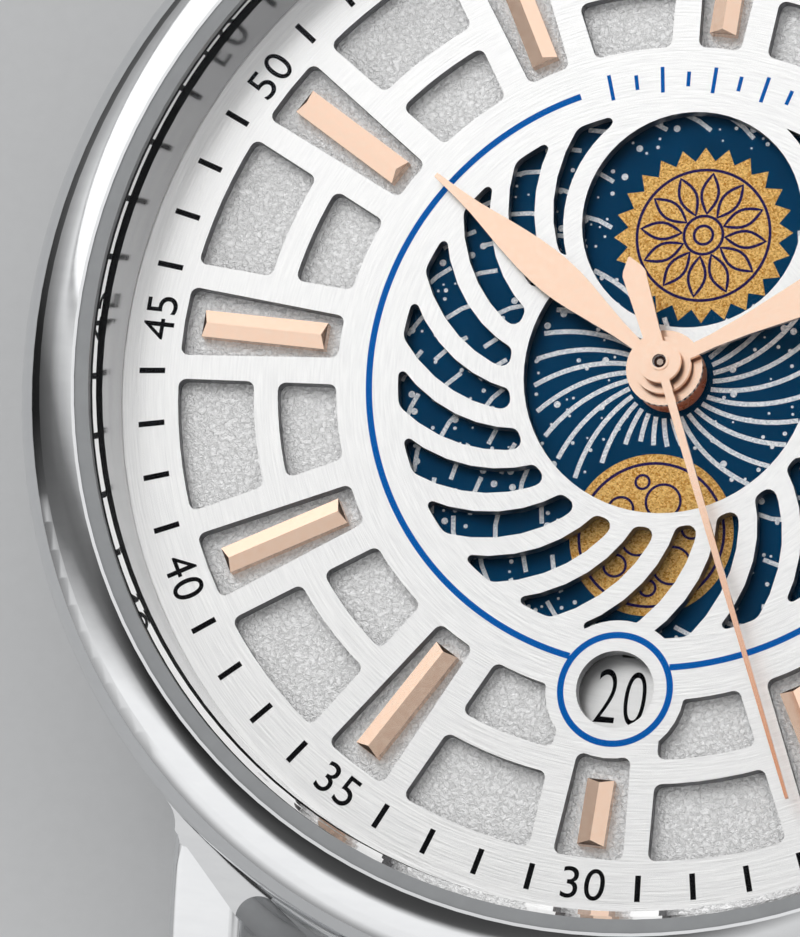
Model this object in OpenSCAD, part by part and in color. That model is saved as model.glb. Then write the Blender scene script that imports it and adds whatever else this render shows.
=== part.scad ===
// A round quartz wristwatch head with a pierced two-layer dial, a day and night disc that turns once
// in 24 hours under spiral slots, three leaf hands and a round date window.
// The origin is the centre of the case back's flat face. +X points to 3 o'clock and the crown,
// +Y to 12 o'clock, +Z out of the dial.

/* [Case] */
// Outside diameter of the middle case
case_d = 41.1; // [40.8:0.1:43]
// Bore of the middle case, which takes the dial and the movement ring
case_bore_d = 36; // [35.9:0.05:36.4]
// Height of the dial's top above the case back
dial_z = 7; // [6.8:0.1:8]
// Thickness of the case back
back_t = 1.2; // [0.9:0.05:1.2]
// Diameter of the case back's flat resting face
back_face_d = 33; // [28:0.5:34]
// Outside diameter of the bezel
bezel_d = 41; // [40.7:0.1:42]
// Radius of the bezel's polished bead
bead_r = 1.5; // [1.4:0.02:1.6]
// Height of the bezel's lip above the dial
lip_rise = 2.77; // [2.5:0.01:3.2]
// Diameter of the crystal
crystal_d = 36; // [35.9:0.05:36]
// Thickness of the crystal
crystal_t = 0.95; // [0.8:0.05:1.0]
// Rise of the crystal's dome at its centre
dome = 0.35; // [0.1:0.05:0.6]
// Wall of the ring that seals the crystal
crystal_seal_t = 0.45; // [0.3:0.05:0.5]
// Inside diameter of the rehaut at the dial
rehaut_d = 34.9; // [34.8:0.05:35.2]
// Wall of the rehaut at the dial
rehaut_wall = 0.52; // [0.4:0.01:0.6]

/* [Lugs] */
// Gap between a pair of lugs, which is the strap's width
lug_gap = 22; // [20:1:23]
// Width of a lug
lug_w = 2.4; // [2.3:0.1:3]
// Distance from the lug tips at 12 to those at 6
lug_span = 49.4; // [48:0.2:51]
// Radius of the curve along the top of a lug
lug_curve_r = 22; // [20:0.5:26]
// Rounding of a lug's long edges
lug_edge_r = 0.4; // [0.2:0.05:0.6]
// Diameter of a spring-bar hole
bar_hole_d = 0.9; // [0.8:0.05:1]
// Depth of a spring-bar hole
bar_hole_depth = 1.2; // [1:0.1:1.4]
// Distance of a spring-bar hole from the lug's tip
bar_hole_inset = 1.75; // [1.5:0.05:2.2]
// Height of a spring-bar hole above the case back
bar_hole_z = 1.75; // [1.6:0.05:1.9]

/* [Crown] */
// Diameter of the crown
crown_d = 6; // [5:0.1:6.6]
// Length of the crown
crown_l = 3.5; // [3.2:0.1:4.5]
// Number of flutes round the crown
crown_flutes = 30; // [20:1:36]
// Travel from the pushed position to the hand-setting position
crown_pull = 0.9; // [0.6:0.05:0.9]
// Diameter of the winding stem
stem_d = 1; // [0.9:0.02:1.04]

/* [Dial] */
// Diameter of the dial
dial_d = 35.8; // [35.5:0.05:35.85]
// Thickness of the pierced upper dial
plate_t = 0.45; // [0.35:0.05:0.5]
// Thickness of the frosted lower dial
base_t = 0.45; // [0.4:0.05:0.45]
// Number of spiral slots
slot_count = 24; // [12:1:26]
// Inner radius of the spiral slots
slot_r0 = 5.03; // [4.9:0.01:5.2]
// Outer radius of the spiral slots
slot_r1 = 8.57; // [8.4:0.01:8.6]
// Radius of the central window
window_r = 4.56; // [4.4:0.02:4.65]
// Radius of the day window
day_r = 3.5; // [3.2:0.05:3.6]
// Distance of the day window's centre from the hands' axis
day_y = 4.95; // [4.9:0.01:5]
// Width of the rim round the day window
day_rim = 0.6; // [0.5:0.05:0.7]
// Radius of the date window
date_r = 1.23; // [1.1:0.01:1.3]
// Distance of the date window's centre from the hands' axis
date_y = 10.25; // [10.2:0.01:10.4]
// Inner radius of the sunk cells
cell_r0 = 10.55; // [10.4:0.05:10.7]
// Outer radius of the sunk cells
cell_r1 = 15.64; // [15.4:0.02:15.8]
// Corner radius of the sunk cells
cell_fillet = 0.25; // [0.1:0.05:0.3]
// Width of an hour marker
marker_w = 0.85; // [0.7:0.05:1]
// Length of an hour marker
marker_l = 4; // [3.5:0.1:4.2]
// Height of an hour marker
marker_h = 0.5; // [0.35:0.05:0.55]

/* [Hands] */
// Length of the hour hand from its axis
hour_l = 9.9; // [8.5:0.1:10.5]
// Length of the minute hand from its axis
minute_l = 14.4; // [13:0.1:15.5]
// Length of the second hand from its axis
second_l = 14.65; // [13:0.05:16]
// Length of the second hand's counterweight
second_tail = 3.55; // [3:0.05:4]
// Thickness of a hand
hand_t = 0.17; // [0.12:0.01:0.18]
// Direction of the hour hand, clockwise from 12
hour_turn = 303.3; // [0:0.1:360]
// Direction of the minute hand, clockwise from 12
minute_turn = 57.6; // [0:0.1:360]
// Direction of the second hand, clockwise from 12
second_turn = 155.1; // [0:0.1:360]

/* [Movement] */
// Diameter of the movement
move_d = 26; // [25.8:0.1:26.4]
// Thickness of the main plate
main_t = 0.9; // [0.8:0.05:0.9]
// Thickness of the train bridge
bridge_t = 0.4; // [0.3:0.02:0.4]
// Space between the train bridge and the main plate
train_space = 2; // [1.96:0.01:2]
// Diameter of the battery
battery_d = 9.5; // [9:0.1:9.6]
// Thickness of the battery
battery_t = 2.05; // [1.8:0.05:2.05]
// Teeth of the date ring
date_teeth = 31; // [31:1:31]
// Radial clearance of a turning shaft
run_gap = 0.04; // [0.02:0.005:0.05]

/* [Hidden] */

// Roundness of turned parts and of small pins and holes
fine = 180;
round_fn = 96;
small_fn = 48;
// A hair that makes one solid reach through another
e = 0.01;

// Radii that several pieces share
case_r = case_d / 2;
bore_r = case_bore_d / 2;
bezel_r = bezel_d / 2;
crystal_r = crystal_d / 2;
rehaut_r = rehaut_d / 2;
rehaut_clear = 0.03;
bezel_bore_r = rehaut_r + rehaut_wall + rehaut_clear;
dial_r = dial_d / 2;
move_r = move_d / 2;
battery_r = battery_d / 2;
back_flange_r = bore_r + 1;

// Heights, from the case back up
case_z0 = 0.6;
lip_z = dial_z + lip_rise;
bezel_z0 = dial_z - 0.35;
bezel_gap = 0.05;
case_z1 = bezel_z0 - bezel_gap;
crystal_z1 = lip_z - 0.05;
crystal_z0 = crystal_z1 - crystal_t;
seal_z0 = crystal_z0 - 0.15;
plate_z0 = dial_z - plate_t;
base_z0 = plate_z0 - base_t;
disc_t = 0.2;
disc_z0 = base_z0;
date_t = 0.16;
date_z0 = base_z0 - 0.1 - date_t;

// Levels of the movement, measured from the main plate's top
main_z1 = base_z0 - 1.1;
main_z0 = main_z1 - main_t;
bridge_z1 = main_z0 - train_space;
bridge_z0 = bridge_z1 - bridge_t;

// Hands, from the dial up
hour_z0 = dial_z + 0.28;
minute_z0 = dial_z + 0.63;
second_z0 = dial_z + 1.05;

// Wall and hub radii of the concentric pipes at the centre
pipe_gap = run_gap + 0.01;
second_arbor_r = 0.22;
centre_in = second_arbor_r + pipe_gap;
centre_out = centre_in + 0.13;
cannon_in = centre_out + e;
cannon_out = cannon_in + 0.17;
hour_in = cannon_out + pipe_gap;
hour_out = hour_in + 0.22;
night_in = hour_out + pipe_gap;
night_out = night_in + 0.25;

// Stem line
stem_z = main_z0 + 0.4;
stem_r = stem_d / 2;
crown_x0 = case_r + 0.2;
crown_r = crown_d / 2;
tube_r = 1.4;
tube_in = 1.0;
tube_x0 = bore_r;
tube_x1 = crown_x0 + 1.25;
pocket_depth = 1.65;
seal_r = 0.35;

// Teeth: size of a tooth (its module) and number of teeth for each mesh
tooth_add = 0.8;
tooth_ded = 1.3;
tooth_fill = 0.42;
rotor_n = 6;
inter_n = 60;
inter_m = 0.07;
inter_p = 10;
second_n = 30;
second_m = 0.1625;
second_p = 8;
third_n = 60;
third_a = 3.2;
third_m = 2 * third_a / (second_p + third_n);
third_p = 8;
centre_n = 64;
centre_m = 2 * third_a / (third_p + centre_n);
cannon_n = 14;
minute_n = 42;
minute_a = 3.3;
cannon_m = 2 * minute_a / (cannon_n + minute_n);
minute_p = 12;
hour_n = 48;
hour_m = 2 * minute_a / (minute_p + hour_n);
night_p = 8;
night_n = 64;
night_m = 2 * minute_a / (night_p + night_n);
setting_n = 20;

// Places of the arbors, seen from the dial side
third_dir = -20;
inter_dir = -100;
rotor_dir = -120;
minute_dir = 40;
date_dir = 150;
inter_a = second_m * (inter_p + second_n) / 2;
rotor_a = inter_m * (rotor_n + inter_n) / 2;
date_a = night_m * night_n;
setting_a = cannon_m * (minute_n + setting_n) / 2;
third_at = third_a * [cos(third_dir), sin(third_dir)];
inter_at = inter_a * [cos(inter_dir), sin(inter_dir)];
rotor_at = inter_at + rotor_a * [cos(rotor_dir), sin(rotor_dir)];
minute_at = minute_a * [cos(minute_dir), sin(minute_dir)];
date_at = date_a * [cos(date_dir), sin(date_dir)];
setting_at = [minute_at[0] + sqrt(pow(setting_a, 2) - pow(minute_at[1], 2)), 0];
setting_dir = atan2(-minute_at[1], setting_at[0] - minute_at[0]);
battery_at = [-5.6, 5.6];

// Levels of the going train, measured from the train bridge
third_z = bridge_z1 + 0.1;
second_z = bridge_z1 + 0.5;
inter_z = bridge_z1 + 0.9;
stator_z = bridge_z1 + 1.2;
centre_z = bridge_z1 + 1.4;
wheel_t = 0.2;
pivot_r = 0.12;

// Levels of the motion work, measured from the main plate's top
minute_z = main_z1 + 0.1;
hour_z = main_z1 + 0.38;
night_z = main_z1 + 0.64;
motion_t = 0.17;

// Places of pillars, screws and studs
pillars = [[-8.6, -3], [5.2, 3.2], [4.9, -5.3]];
pillar_r = 0.7;
clamp_reach = 5.65;
clamps = [for (s = [-1, 1]) battery_at + s * clamp_reach * [cos(45), sin(45)]];
coil_at = [-1.7, -9];
coil_l = 6.6;
core_l = 10.6;
core_w = 1.2;
stator_arms = [coil_at[0] - core_l / 2 + 0.7, coil_at[0] + core_l / 2 - 0.7];
lever_at = [9.6, 2.4];
lever_arm = 2.4;
yoke_at = [8.6, -2.7];
jumper_at = [3.1, 5.4];
screw_r = 0.3;
head_r = 0.55;
head_t = 0.28;

// Date ring
ring_r1 = 12.35;
ring_r0 = 9;
ring_tip = 8.5;
finger_r = 3.05;

// Pin-shaped solid, upright at a place
module pin(at, r, z0, z1) {
    translate([at[0], at[1], z0])
        cylinder(h = z1 - z0, r = r, $fn = small_fn);
}

// Cylinder along X from x0 to x1 on the stem's line
module bar_x(r, x0, x1, sides = small_fn) {
    translate([x0, 0, stem_z])
        rotate([0, 90, 0])
            cylinder(h = x1 - x0, r = r, $fn = sides);
}

// Turned ring with a rectangular section
module ring(r0, r1, z0, z1) {
    translate([0, 0, z0])
        difference() {
            cylinder(h = z1 - z0, r = r1, $fn = fine);
            translate([0, 0, -1])
                cylinder(h = z1 - z0 + 2, r = r0, $fn = fine);
        }
}

// Outline points
function polar(r, a) = [r * cos(a), r * sin(a)];
function unit(v) = v / norm(v);
function clock(r, turn) = [r * sin(turn), r * cos(turn)];

// Points of one rounded corner at b, between its neighbours a and c
function corner(a, b, c, r, n) =
    r <= 0 ? [b] :
    let(
        u = unit(a - b),
        v = unit(c - b),
        half = acos(max(-1, min(1, u * v))) / 2,
        reach = r / tan(half),
        mid = b + unit(u + v) * r / sin(half),
        p = b + u * reach - mid,
        q = b + v * reach - mid,
        a0 = atan2(p[1], p[0]),
        turn = atan2(p[0] * q[1] - p[1] * q[0], p * q)
    )
    [for (i = [0 : n]) mid + polar(r, a0 + turn * i / n)];

// Outline whose points carry their own rounding as a third number
function rounded(pts, n = 4) =
    let(c = len(pts), at = [for (p = pts) [p[0], p[1]]])
    [for (i = [0 : c - 1])
        for (p = corner(at[(i + c - 1) % c], at[i], at[(i + 1) % c], pts[i][2], n)) p];

// Teeth of a wheel: pitch radius from the module, tooth 0 at angle 0
function tooth(r0, r1, half, a) = [
    polar(r0, a - 1.2 * half), polar(r1, a - 0.55 * half), polar(r1, a + 0.55 * half),
    polar(r0, a + 1.2 * half)
];
function wheel_points(n, m, phase) =
    let(
        pitch = 360 / n,
        half = pitch * tooth_fill / 2,
        r0 = m * n / 2 - tooth_ded * m,
        r1 = m * n / 2 + tooth_add * m
    )
    [for (i = [0 : n - 1]) for (p = tooth(r0, r1, half, phase + i * pitch)) p];

// Phase of a wheel of n2 teeth that meshes with one of n1 teeth whose phase is a1,
// when the second axis lies in direction dir from the first
function mesh(a1, n1, n2, dir) = dir + 180 + 360 / n2 * (0.5 + (dir - a1) * n1 / 360);

module toothed(n, m, phase, z0, z1) {
    translate([0, 0, z0])
        linear_extrude(z1 - z0)
            polygon(wheel_points(n, m, phase));
}

// Round windows that lighten a wheel
module crossings(count, r, at_r, z0, z1) {
    for (i = [0 : count - 1])
        rotate(i * 360 / count)
            pin([at_r, 0], r, z0 - 1, z1 + 1);
}

// Slotted cheese-head screw whose head hangs below the face at z
module screw(at, z, length) {
    translate([at[0], at[1], 0])
        difference() {
            union() {
                pin([0, 0], head_r, z - head_t, z);
                pin([0, 0], screw_r - e, z - e, z + length);
            }
            translate([-1, -0.07, z - head_t - 1])
                cube([2, 0.14, 1.1]);
        }
}

// Side view of a lug, in Y and Z: its curved top, flat foot and round tip
lug_dir0 = 18;
lug_start = 16.6;
lug_y0 = lug_start - lug_curve_r * sin(lug_dir0);
lug_top_z = case_z1;
lug_z0 = lug_top_z - lug_curve_r * cos(lug_dir0);
lug_tip = lug_span / 2;
lug_foot = 0.3;
lug_root = 15;
tip_round = 0.7;

module lug_side() {
    intersection() {
        translate([lug_y0, lug_z0])
            circle(r = lug_curve_r, $fn = fine);
        union() {
            translate([lug_root, lug_foot + tip_round])
                square([lug_tip - lug_root, lug_top_z - lug_foot - tip_round]);
            translate([lug_root, lug_foot])
                square([lug_tip - tip_round - lug_root, 2]);
            translate([lug_tip - tip_round, lug_foot + tip_round])
                circle(r = tip_round, $fn = small_fn);
        }
    }
}

// Arched bar with rounded long edges that follows the lug's top
module lug_arch() {
    inner = 4;
    arch_dir0 = 12;
    arch_sweep = 63;
    translate([lug_gap / 2 + lug_w, lug_y0, lug_z0])
        rotate([0, -90, 0])
            rotate([0, 0, arch_dir0])
                rotate_extrude(angle = arch_sweep, $fn = fine)
                    union() {
                        translate([inner, 0])
                            square([lug_curve_r - lug_edge_r - inner, lug_w]);
                        translate([inner, lug_edge_r])
                            square([lug_curve_r - inner, lug_w - 2 * lug_edge_r]);
                        for (x = [lug_edge_r, lug_w - lug_edge_r])
                            translate([lug_curve_r - lug_edge_r, x])
                                circle(r = lug_edge_r, $fn = small_fn);
                    }
}

// Place of a circle of radius f that rounds the corner between the case and a lug's side at x
function fillet_y(x, f) = sqrt(pow(case_r + f, 2) - x * x);
outer_fillet = 1.2;
inner_fillet = 0.7;
lug_out = lug_gap / 2 + lug_w;
lug_in = lug_gap / 2;

// Plan view of the concave blends on both sides of a lug
module lug_blend_plan() {
    out_c = [lug_out + outer_fillet, fillet_y(lug_out + outer_fillet, outer_fillet)];
    in_c = [lug_in - inner_fillet, fillet_y(lug_in - inner_fillet, inner_fillet)];
    difference() {
        polygon([
            [lug_in, 16], in_c * 16 / norm(in_c), in_c * case_r / norm(in_c), [lug_in, in_c[1]],
            [lug_out, out_c[1]], out_c * case_r / norm(out_c), out_c * 16 / norm(out_c)
        ]);
        translate(out_c)
            circle(r = outer_fillet, $fn = small_fn);
        translate(in_c)
            circle(r = inner_fillet, $fn = small_fn);
    }
}

// Cone that the drill leaves at the blind end of a spring-bar hole
drill_tip = bar_hole_d / 2 / tan(59);

module lug() {
    difference() {
        union() {
            intersection() {
                lug_arch();
                translate([lug_in - 1, 0, 0])
                    rotate([90, 0, 90])
                        linear_extrude(lug_w + 2)
                            lug_side();
            }
            intersection() {
                linear_extrude(case_z1)
                    lug_blend_plan();
                translate([5, 0, 0])
                    rotate([90, 0, 90])
                        linear_extrude(15)
                            lug_side();
            }
        }
        translate([lug_in - 1, lug_tip - bar_hole_inset, bar_hole_z])
            rotate([0, 90, 0])
                rotate_extrude($fn = small_fn)
                    polygon([
                        [0, 0], [bar_hole_d / 2, 0], [bar_hole_d / 2, 1 + bar_hole_depth],
                        [0, 1 + bar_hole_depth + drill_tip]
                    ]);
    }
}

// Side of the middle case: a barrel curve with a rounded upper edge
barrel_r = 9;
barrel_z = dial_z - 1.6;
case_edge_r = 0.35;

module case_section() {
    edge_z = case_z1 - case_edge_r;
    edge_x = case_r - barrel_r + sqrt(pow(barrel_r, 2) - pow(edge_z - barrel_z, 2)) - case_edge_r;
    intersection() {
        translate([case_r - barrel_r, barrel_z])
            circle(r = barrel_r, $fn = fine);
        translate([bore_r, case_z0])
            square([barrel_r, edge_z - case_z0]);
    }
    translate([bore_r, edge_z - e])
        square([edge_x - bore_r, case_edge_r + e]);
    translate([edge_x, edge_z])
        circle(r = case_edge_r, $fn = small_fn);
}

module mid_case() {
    color("silver")
        difference() {
            union() {
                rotate_extrude($fn = fine)
                    case_section();
                for (m = [0, 1], n = [0, 1])
                    mirror([m, 0, 0])
                        mirror([0, n, 0])
                            lug();
            }
            translate([0, 0, -1])
                cylinder(h = 12, r = bore_r, $fn = fine);
            translate([0, 0, -1])
                cylinder(h = 1 + case_z0, r = back_flange_r + 0.05, $fn = fine);
            bar_x(tube_r + e, bore_r - 2, case_r + 2);
        }
}

// Profile of the bezel: a narrow flat lip, then a flat crest and a round bead that meet in line.
// A direction is the slope of the profile, from 0 on the flat lip to 90 on the upright side.
lip_flat = 0.1;
crest_dir0 = 5;
crest_dir1 = 25;

module bezel() {
    lip_x = crystal_r + crystal_seal_t + lip_flat;
    meet_x = bezel_r - bead_r * (1 - sin(crest_dir1));
    crest_r = (meet_x - lip_x) / (sin(crest_dir1) - sin(crest_dir0));
    crest_x = lip_x - crest_r * sin(crest_dir0);
    crest_z = lip_z - crest_r * cos(crest_dir0);
    bead_x = bezel_r - bead_r;
    bead_z = crest_z + (crest_r - bead_r) * cos(crest_dir1);
    skirt_r = 4.4;
    color("silver")
        rotate_extrude($fn = fine)
            difference() {
                union() {
                    intersection() {
                        translate([bead_x, bead_z])
                            circle(r = bead_r, $fn = fine);
                        translate([meet_x, bead_z])
                            square([bead_r, bead_r + 1]);
                    }
                    intersection() {
                        translate([crest_x, crest_z])
                            circle(r = crest_r, $fn = fine);
                        translate([lip_x, bead_z])
                            square([meet_x - lip_x, bead_r + 1]);
                    }
                    intersection() {
                        translate([bezel_r - skirt_r, bead_z])
                            circle(r = skirt_r, $fn = fine);
                        translate([lip_x, bezel_z0])
                            square([skirt_r, bead_z - bezel_z0 + e]);
                    }
                    translate([0, bezel_z0])
                        square([lip_x, lip_z - bezel_z0]);
                }
                translate([-1, seal_z0])
                    square([1 + crystal_r + crystal_seal_t, 5]);
                translate([-1, bezel_z0 - 1])
                    square([1 + bezel_bore_r, crystal_z0 - bezel_z0 + 1 + rehaut_clear]);
            }
}

// Crystal: a flat-edged disc, domed above and hollowed below, with a bevelled rim
bevel = 0.25;
function cap_r(rise, half) = (rise * rise + half * half) / (2 * rise);

module crystal() {
    top_r = cap_r(dome, crystal_r - bevel);
    low_r = cap_r(dome, rehaut_r);
    color("lightcyan", 0.3)
        difference() {
            union() {
                intersection() {
                    translate([0, 0, crystal_z1 + dome - top_r])
                        sphere(r = top_r, $fn = fine);
                    translate([0, 0, crystal_z1 - e])
                        cylinder(h = 2, r = crystal_r - bevel, $fn = fine);
                }
                rotate_extrude($fn = fine)
                    polygon([
                        [0, crystal_z0], [crystal_r - e, crystal_z0], [crystal_r - e, crystal_z1 - bevel],
                        [crystal_r - bevel, crystal_z1], [0, crystal_z1]
                    ]);
            }
            intersection() {
                translate([0, 0, crystal_z0 + dome - low_r])
                    sphere(r = low_r, $fn = fine);
                translate([0, 0, crystal_z0 - 1])
                    cylinder(h = 2, r = rehaut_r, $fn = fine);
            }
        }
}

module crystal_gasket() {
    color("gainsboro")
        ring(crystal_r, crystal_r + crystal_seal_t, seal_z0, crystal_z1);
}

// Rehaut: the turned ring between dial and crystal, which leans out and has a bevel at its foot
foot_bevel = 0.06;
rehaut_lean = 0.2;

module rehaut_ring() {
    color("lightgray")
        rotate_extrude($fn = fine)
            polygon([
                [rehaut_r + foot_bevel, dial_z], [rehaut_r + rehaut_wall, dial_z],
                [rehaut_r + rehaut_wall, crystal_z0], [rehaut_r + rehaut_lean, crystal_z0],
                [rehaut_r, dial_z + foot_bevel]
            ]);
}

module case_back() {
    color("silver")
        difference() {
            rotate_extrude($fn = fine)
                polygon([
                    [0, 0], [back_face_d / 2, 0], [back_flange_r, 0.35], [back_flange_r, case_z0],
                    [bore_r - 0.02, case_z0], [bore_r - 0.02, back_t], [0, back_t]
                ]);
            for (i = [0 : 5])
                rotate(i * 60)
                    translate([back_face_d / 2 - 1.2, -0.9, -1])
                        cube([1.2, 1.8, 1.35]);
            ring(bore_r - 1, bore_r + 1, back_t - 0.3, back_t + 1);
        }
}

module case_back_gasket() {
    color("dimgray")
        ring(bore_r - 0.95, bore_r - 0.05, back_t - 0.3, back_t);
}

module crown_tube() {
    color("silver")
        difference() {
            bar_x(tube_r, tube_x0, tube_x1);
            bar_x(tube_in, tube_x0 - 1, tube_x1 + 1);
        }
}

// Crown: a fluted bar trimmed to a domed, bevelled outline, hollowed to run over its tube
module crown() {
    hub_r = tube_in - 0.08;
    flute_r = 0.2;
    dome_rise = 0.5;
    bevel_w = 0.3;
    dome_r = cap_r(dome_rise, crown_r);
    color("silver")
        translate([crown_x0, 0, stem_z])
            rotate([0, 90, 0])
                difference() {
                    intersection() {
                        linear_extrude(crown_l)
                            difference() {
                                circle(r = crown_r, $fn = fine);
                                for (i = [0 : crown_flutes - 1])
                                    rotate((i + 0.5) * 360 / crown_flutes)
                                        translate([crown_r + 0.08, 0])
                                            circle(r = flute_r, $fn = 16);
                            }
                        rotate_extrude($fn = fine)
                            intersection() {
                                translate([0, crown_l - dome_r])
                                    circle(r = dome_r, $fn = fine);
                                polygon([
                                    [0, 0], [crown_r - bevel_w, 0], [crown_r + e, bevel_w + e],
                                    [crown_r + e, crown_l - dome_rise - bevel_w],
                                    [crown_r - bevel_w, crown_l + e], [0, crown_l + e]
                                ]);
                            }
                    }
                    difference() {
                        translate([0, 0, -1])
                            cylinder(h = pocket_depth + 1, r = tube_r + 0.8, $fn = round_fn);
                        translate([0, 0, -2])
                            cylinder(h = pocket_depth + 3, r = hub_r, $fn = round_fn);
                    }
                    translate([0, 0, -1])
                        cylinder(h = pocket_depth + 1.6, r = stem_r - 0.04, $fn = small_fn);
                }
}

module crown_gasket() {
    gap = 0.05;
    color("dimgray")
        translate([crown_x0 + 0.45, 0, stem_z])
            rotate([0, 90, 0])
                rotate_extrude($fn = round_fn)
                    translate([tube_r + gap + seal_r, 0])
                        circle(r = seal_r, $fn = small_fn);
}

// Winding stem: pilot, square for the sliding pinion, groove for the setting lever, long shank
pilot_x = 5.1;
square_x0 = 6.4;
square_x1 = 8.75;
groove_x = lever_at[0] - crown_pull / 2;
groove_w = 0.5;
shank_x = move_r + 0.2;
square_w = 0.56;

module winding_stem() {
    color("lightsteelblue")
        union() {
            bar_x(0.25, pilot_x, square_x0 + e);
            translate([square_x0, -square_w / 2, stem_z - square_w / 2])
                cube([square_x1 - square_x0 + e, square_w, square_w]);
            bar_x(stem_r, square_x1, groove_x - groove_w / 2);
            bar_x(0.28, groove_x - groove_w / 2 - e, groove_x + groove_w / 2 + e);
            bar_x(stem_r, groove_x + groove_w / 2, shank_x);
            bar_x(stem_r - 0.05, shank_x - e, crown_x0 + pocket_depth + 0.5);
        }
}

// One spiral slot: its two edges run outward at a growing slant, and arcs close its ends
slot_first = 0.6;
slot_steps = [slot_r0, 5.6, 6.2, 6.8, 7.4, 8, slot_r1];
function slot_turn(r) = 5 * (r - 5.5) + 0.53 * pow(r - 5.5, 2);
function slot_half(r) = 4.15 + 0.13 * (r - 5.5);

function slot_points(start) =
    let(
        last = len(slot_steps) - 1,
        lead = [for (i = [0 : last])
            let(r = slot_steps[i], p = clock(r, start + slot_turn(r) - slot_half(r)))
            [p[0], p[1], i == 0 ? 0.28 : i == last ? 0.5 : 0]],
        arc = [for (k = [-0.4, 0, 0.4])
            let(r = slot_r1, p = clock(r, start + slot_turn(r) + slot_half(r) * k))
            [p[0], p[1], 0]],
        trail = [for (i = [0 : last])
            let(r = slot_steps[last - i], p = clock(r, start + slot_turn(r) + slot_half(r)))
            [p[0], p[1], i == 0 ? 0.14 : i == last ? 0.28 : 0]]
    )
    rounded(concat(lead, arc, trail));

// Sunk cells between the hour lines. A side is a straight line that leaves the hour line slowly
cell_side0 = 1.54;
cell_slope = 0.069;
index_side0 = 0.68;
index_slope = 0.087;
cell_mid0 = 12.43;
cell_mid1 = 13.2;
date_keep = 2.2;

// Turn from an hour line at which a side line meets the circle of radius r
function side_turn(side0, slope, r) = asin((side0 + slope * (r - cell_r0)) / r);

function arc_points(r, t0, t1, n) = [for (i = [0 : n]) clock(r, t0 + (t1 - t0) * i / n)];
function with_round(pts, first, last) =
    [for (i = [0 : len(pts) - 1])
        [pts[i][0], pts[i][1], i == 0 ? first : i == len(pts) - 1 ? last : 0]];

// Cell between two hour lines, from radius r0 to r1, for the gap that starts at hour h
function cell_points(h, r0, r1) =
    let(
        t0 = side_turn(cell_side0, cell_slope, r0),
        t1 = side_turn(cell_side0, cell_slope, r1),
        low = arc_points(r0, h * 30 + t0, h * 30 + 30 - t0, 5),
        high = arc_points(r1, h * 30 + 30 - t1, h * 30 + t1, 6)
    )
    rounded(concat(with_round(low, cell_fillet, cell_fillet), with_round(high, cell_fillet, cell_fillet)));

// Recess that holds an hour marker
function index_points(h, r0) =
    let(
        t0 = side_turn(index_side0, index_slope, r0),
        t1 = side_turn(index_side0, index_slope, cell_r1),
        low = arc_points(r0, h * 30 - t0, h * 30 + t0, 2),
        high = arc_points(cell_r1, h * 30 + t1, h * 30 - t1, 2)
    )
    rounded(concat(with_round(low, cell_fillet, cell_fillet), with_round(high, cell_fillet, cell_fillet)));

// Cell beside the date window, whose inner corner follows a circle round the window.
// side is 1 for the cell on the 5 o'clock side and -1 for the one on the 7 o'clock side
function beside_date(side) =
    let(
        keep = date_keep,
        arc_y = -(pow(cell_r0, 2) - pow(keep, 2) + pow(date_y, 2)) / (2 * date_y),
        arc_x = sqrt(pow(cell_r0, 2) - pow(arc_y, 2)),
        start = atan2(arc_x, arc_y),
        end = 150 + side_turn(cell_side0, cell_slope, cell_r0),
        out0 = 150 + side_turn(cell_side0, cell_slope, cell_mid0),
        out1 = 180 - side_turn(cell_side0, cell_slope, cell_mid0),
        low = arc_points(cell_r0, start, end, 4),
        high = arc_points(cell_mid0, out0, out1, 5),
        side_x = cell_side0 + cell_slope * 1.3,
        a0 = atan2(-sqrt(pow(keep, 2) - pow(side_x, 2)), side_x),
        a1 = atan2(arc_y + date_y, arc_x),
        scallop = [for (i = [0 : 4]) [0, -date_y] + polar(keep, a0 + (a1 - a0) * i / 4)],
        pts = concat(
            with_round(low, cell_fillet / 2, cell_fillet),
            with_round(high, cell_fillet, cell_fillet),
            [for (i = [0 : 3]) [scallop[i][0], scallop[i][1], 0]]
        )
    )
    rounded([for (p = pts) [side * p[0], p[1], p[2]]]);

// Recess at 6 o'clock, whose inner end follows the same circle
function six_points() =
    let(
        half = index_side0 + index_slope * 1.9,
        lift = sqrt(pow(date_keep, 2) - half * half),
        a0 = atan2(-lift, -half),
        a1 = atan2(-lift, half),
        top = [for (i = [0 : 4]) [0, -date_y] + polar(date_keep, a0 + (a1 - a0) * i / 4)],
        t1 = side_turn(index_side0, index_slope, cell_r1),
        low = arc_points(cell_r1, 180 - t1, 180 + t1, 2)
    )
    rounded(concat(with_round(top, cell_fillet, cell_fillet), with_round(low, cell_fillet, cell_fillet)));

module dial_openings() {
    for (h = [0 : 11]) {
        polygon(cell_points(h, cell_mid1, cell_r1));
        if (h != 5 && h != 6)
            polygon(cell_points(h, cell_r0, cell_mid0));
        if (h != 6)
            polygon(index_points(h, cell_r0));
    }
    polygon(beside_date(1));
    polygon(beside_date(-1));
    polygon(six_points());
}

module spiral_openings() {
    difference() {
        union() {
            for (i = [0 : slot_count - 1])
                polygon(slot_points(i * 360 / slot_count + slot_first));
            circle(r = window_r, $fn = fine);
        }
        translate([0, day_y])
            circle(r = day_r + day_rim, $fn = fine);
        translate([0, -date_y])
            circle(r = date_keep, $fn = fine);
    }
    translate([0, day_y])
        circle(r = day_r, $fn = fine);
}

module dial_plate() {
    color("whitesmoke")
        translate([0, 0, plate_z0])
            linear_extrude(plate_t)
                difference() {
                    circle(r = dial_r, $fn = fine);
                    dial_openings();
                    spiral_openings();
                    translate([0, -date_y])
                        circle(r = date_r, $fn = fine);
                }
}

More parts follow.
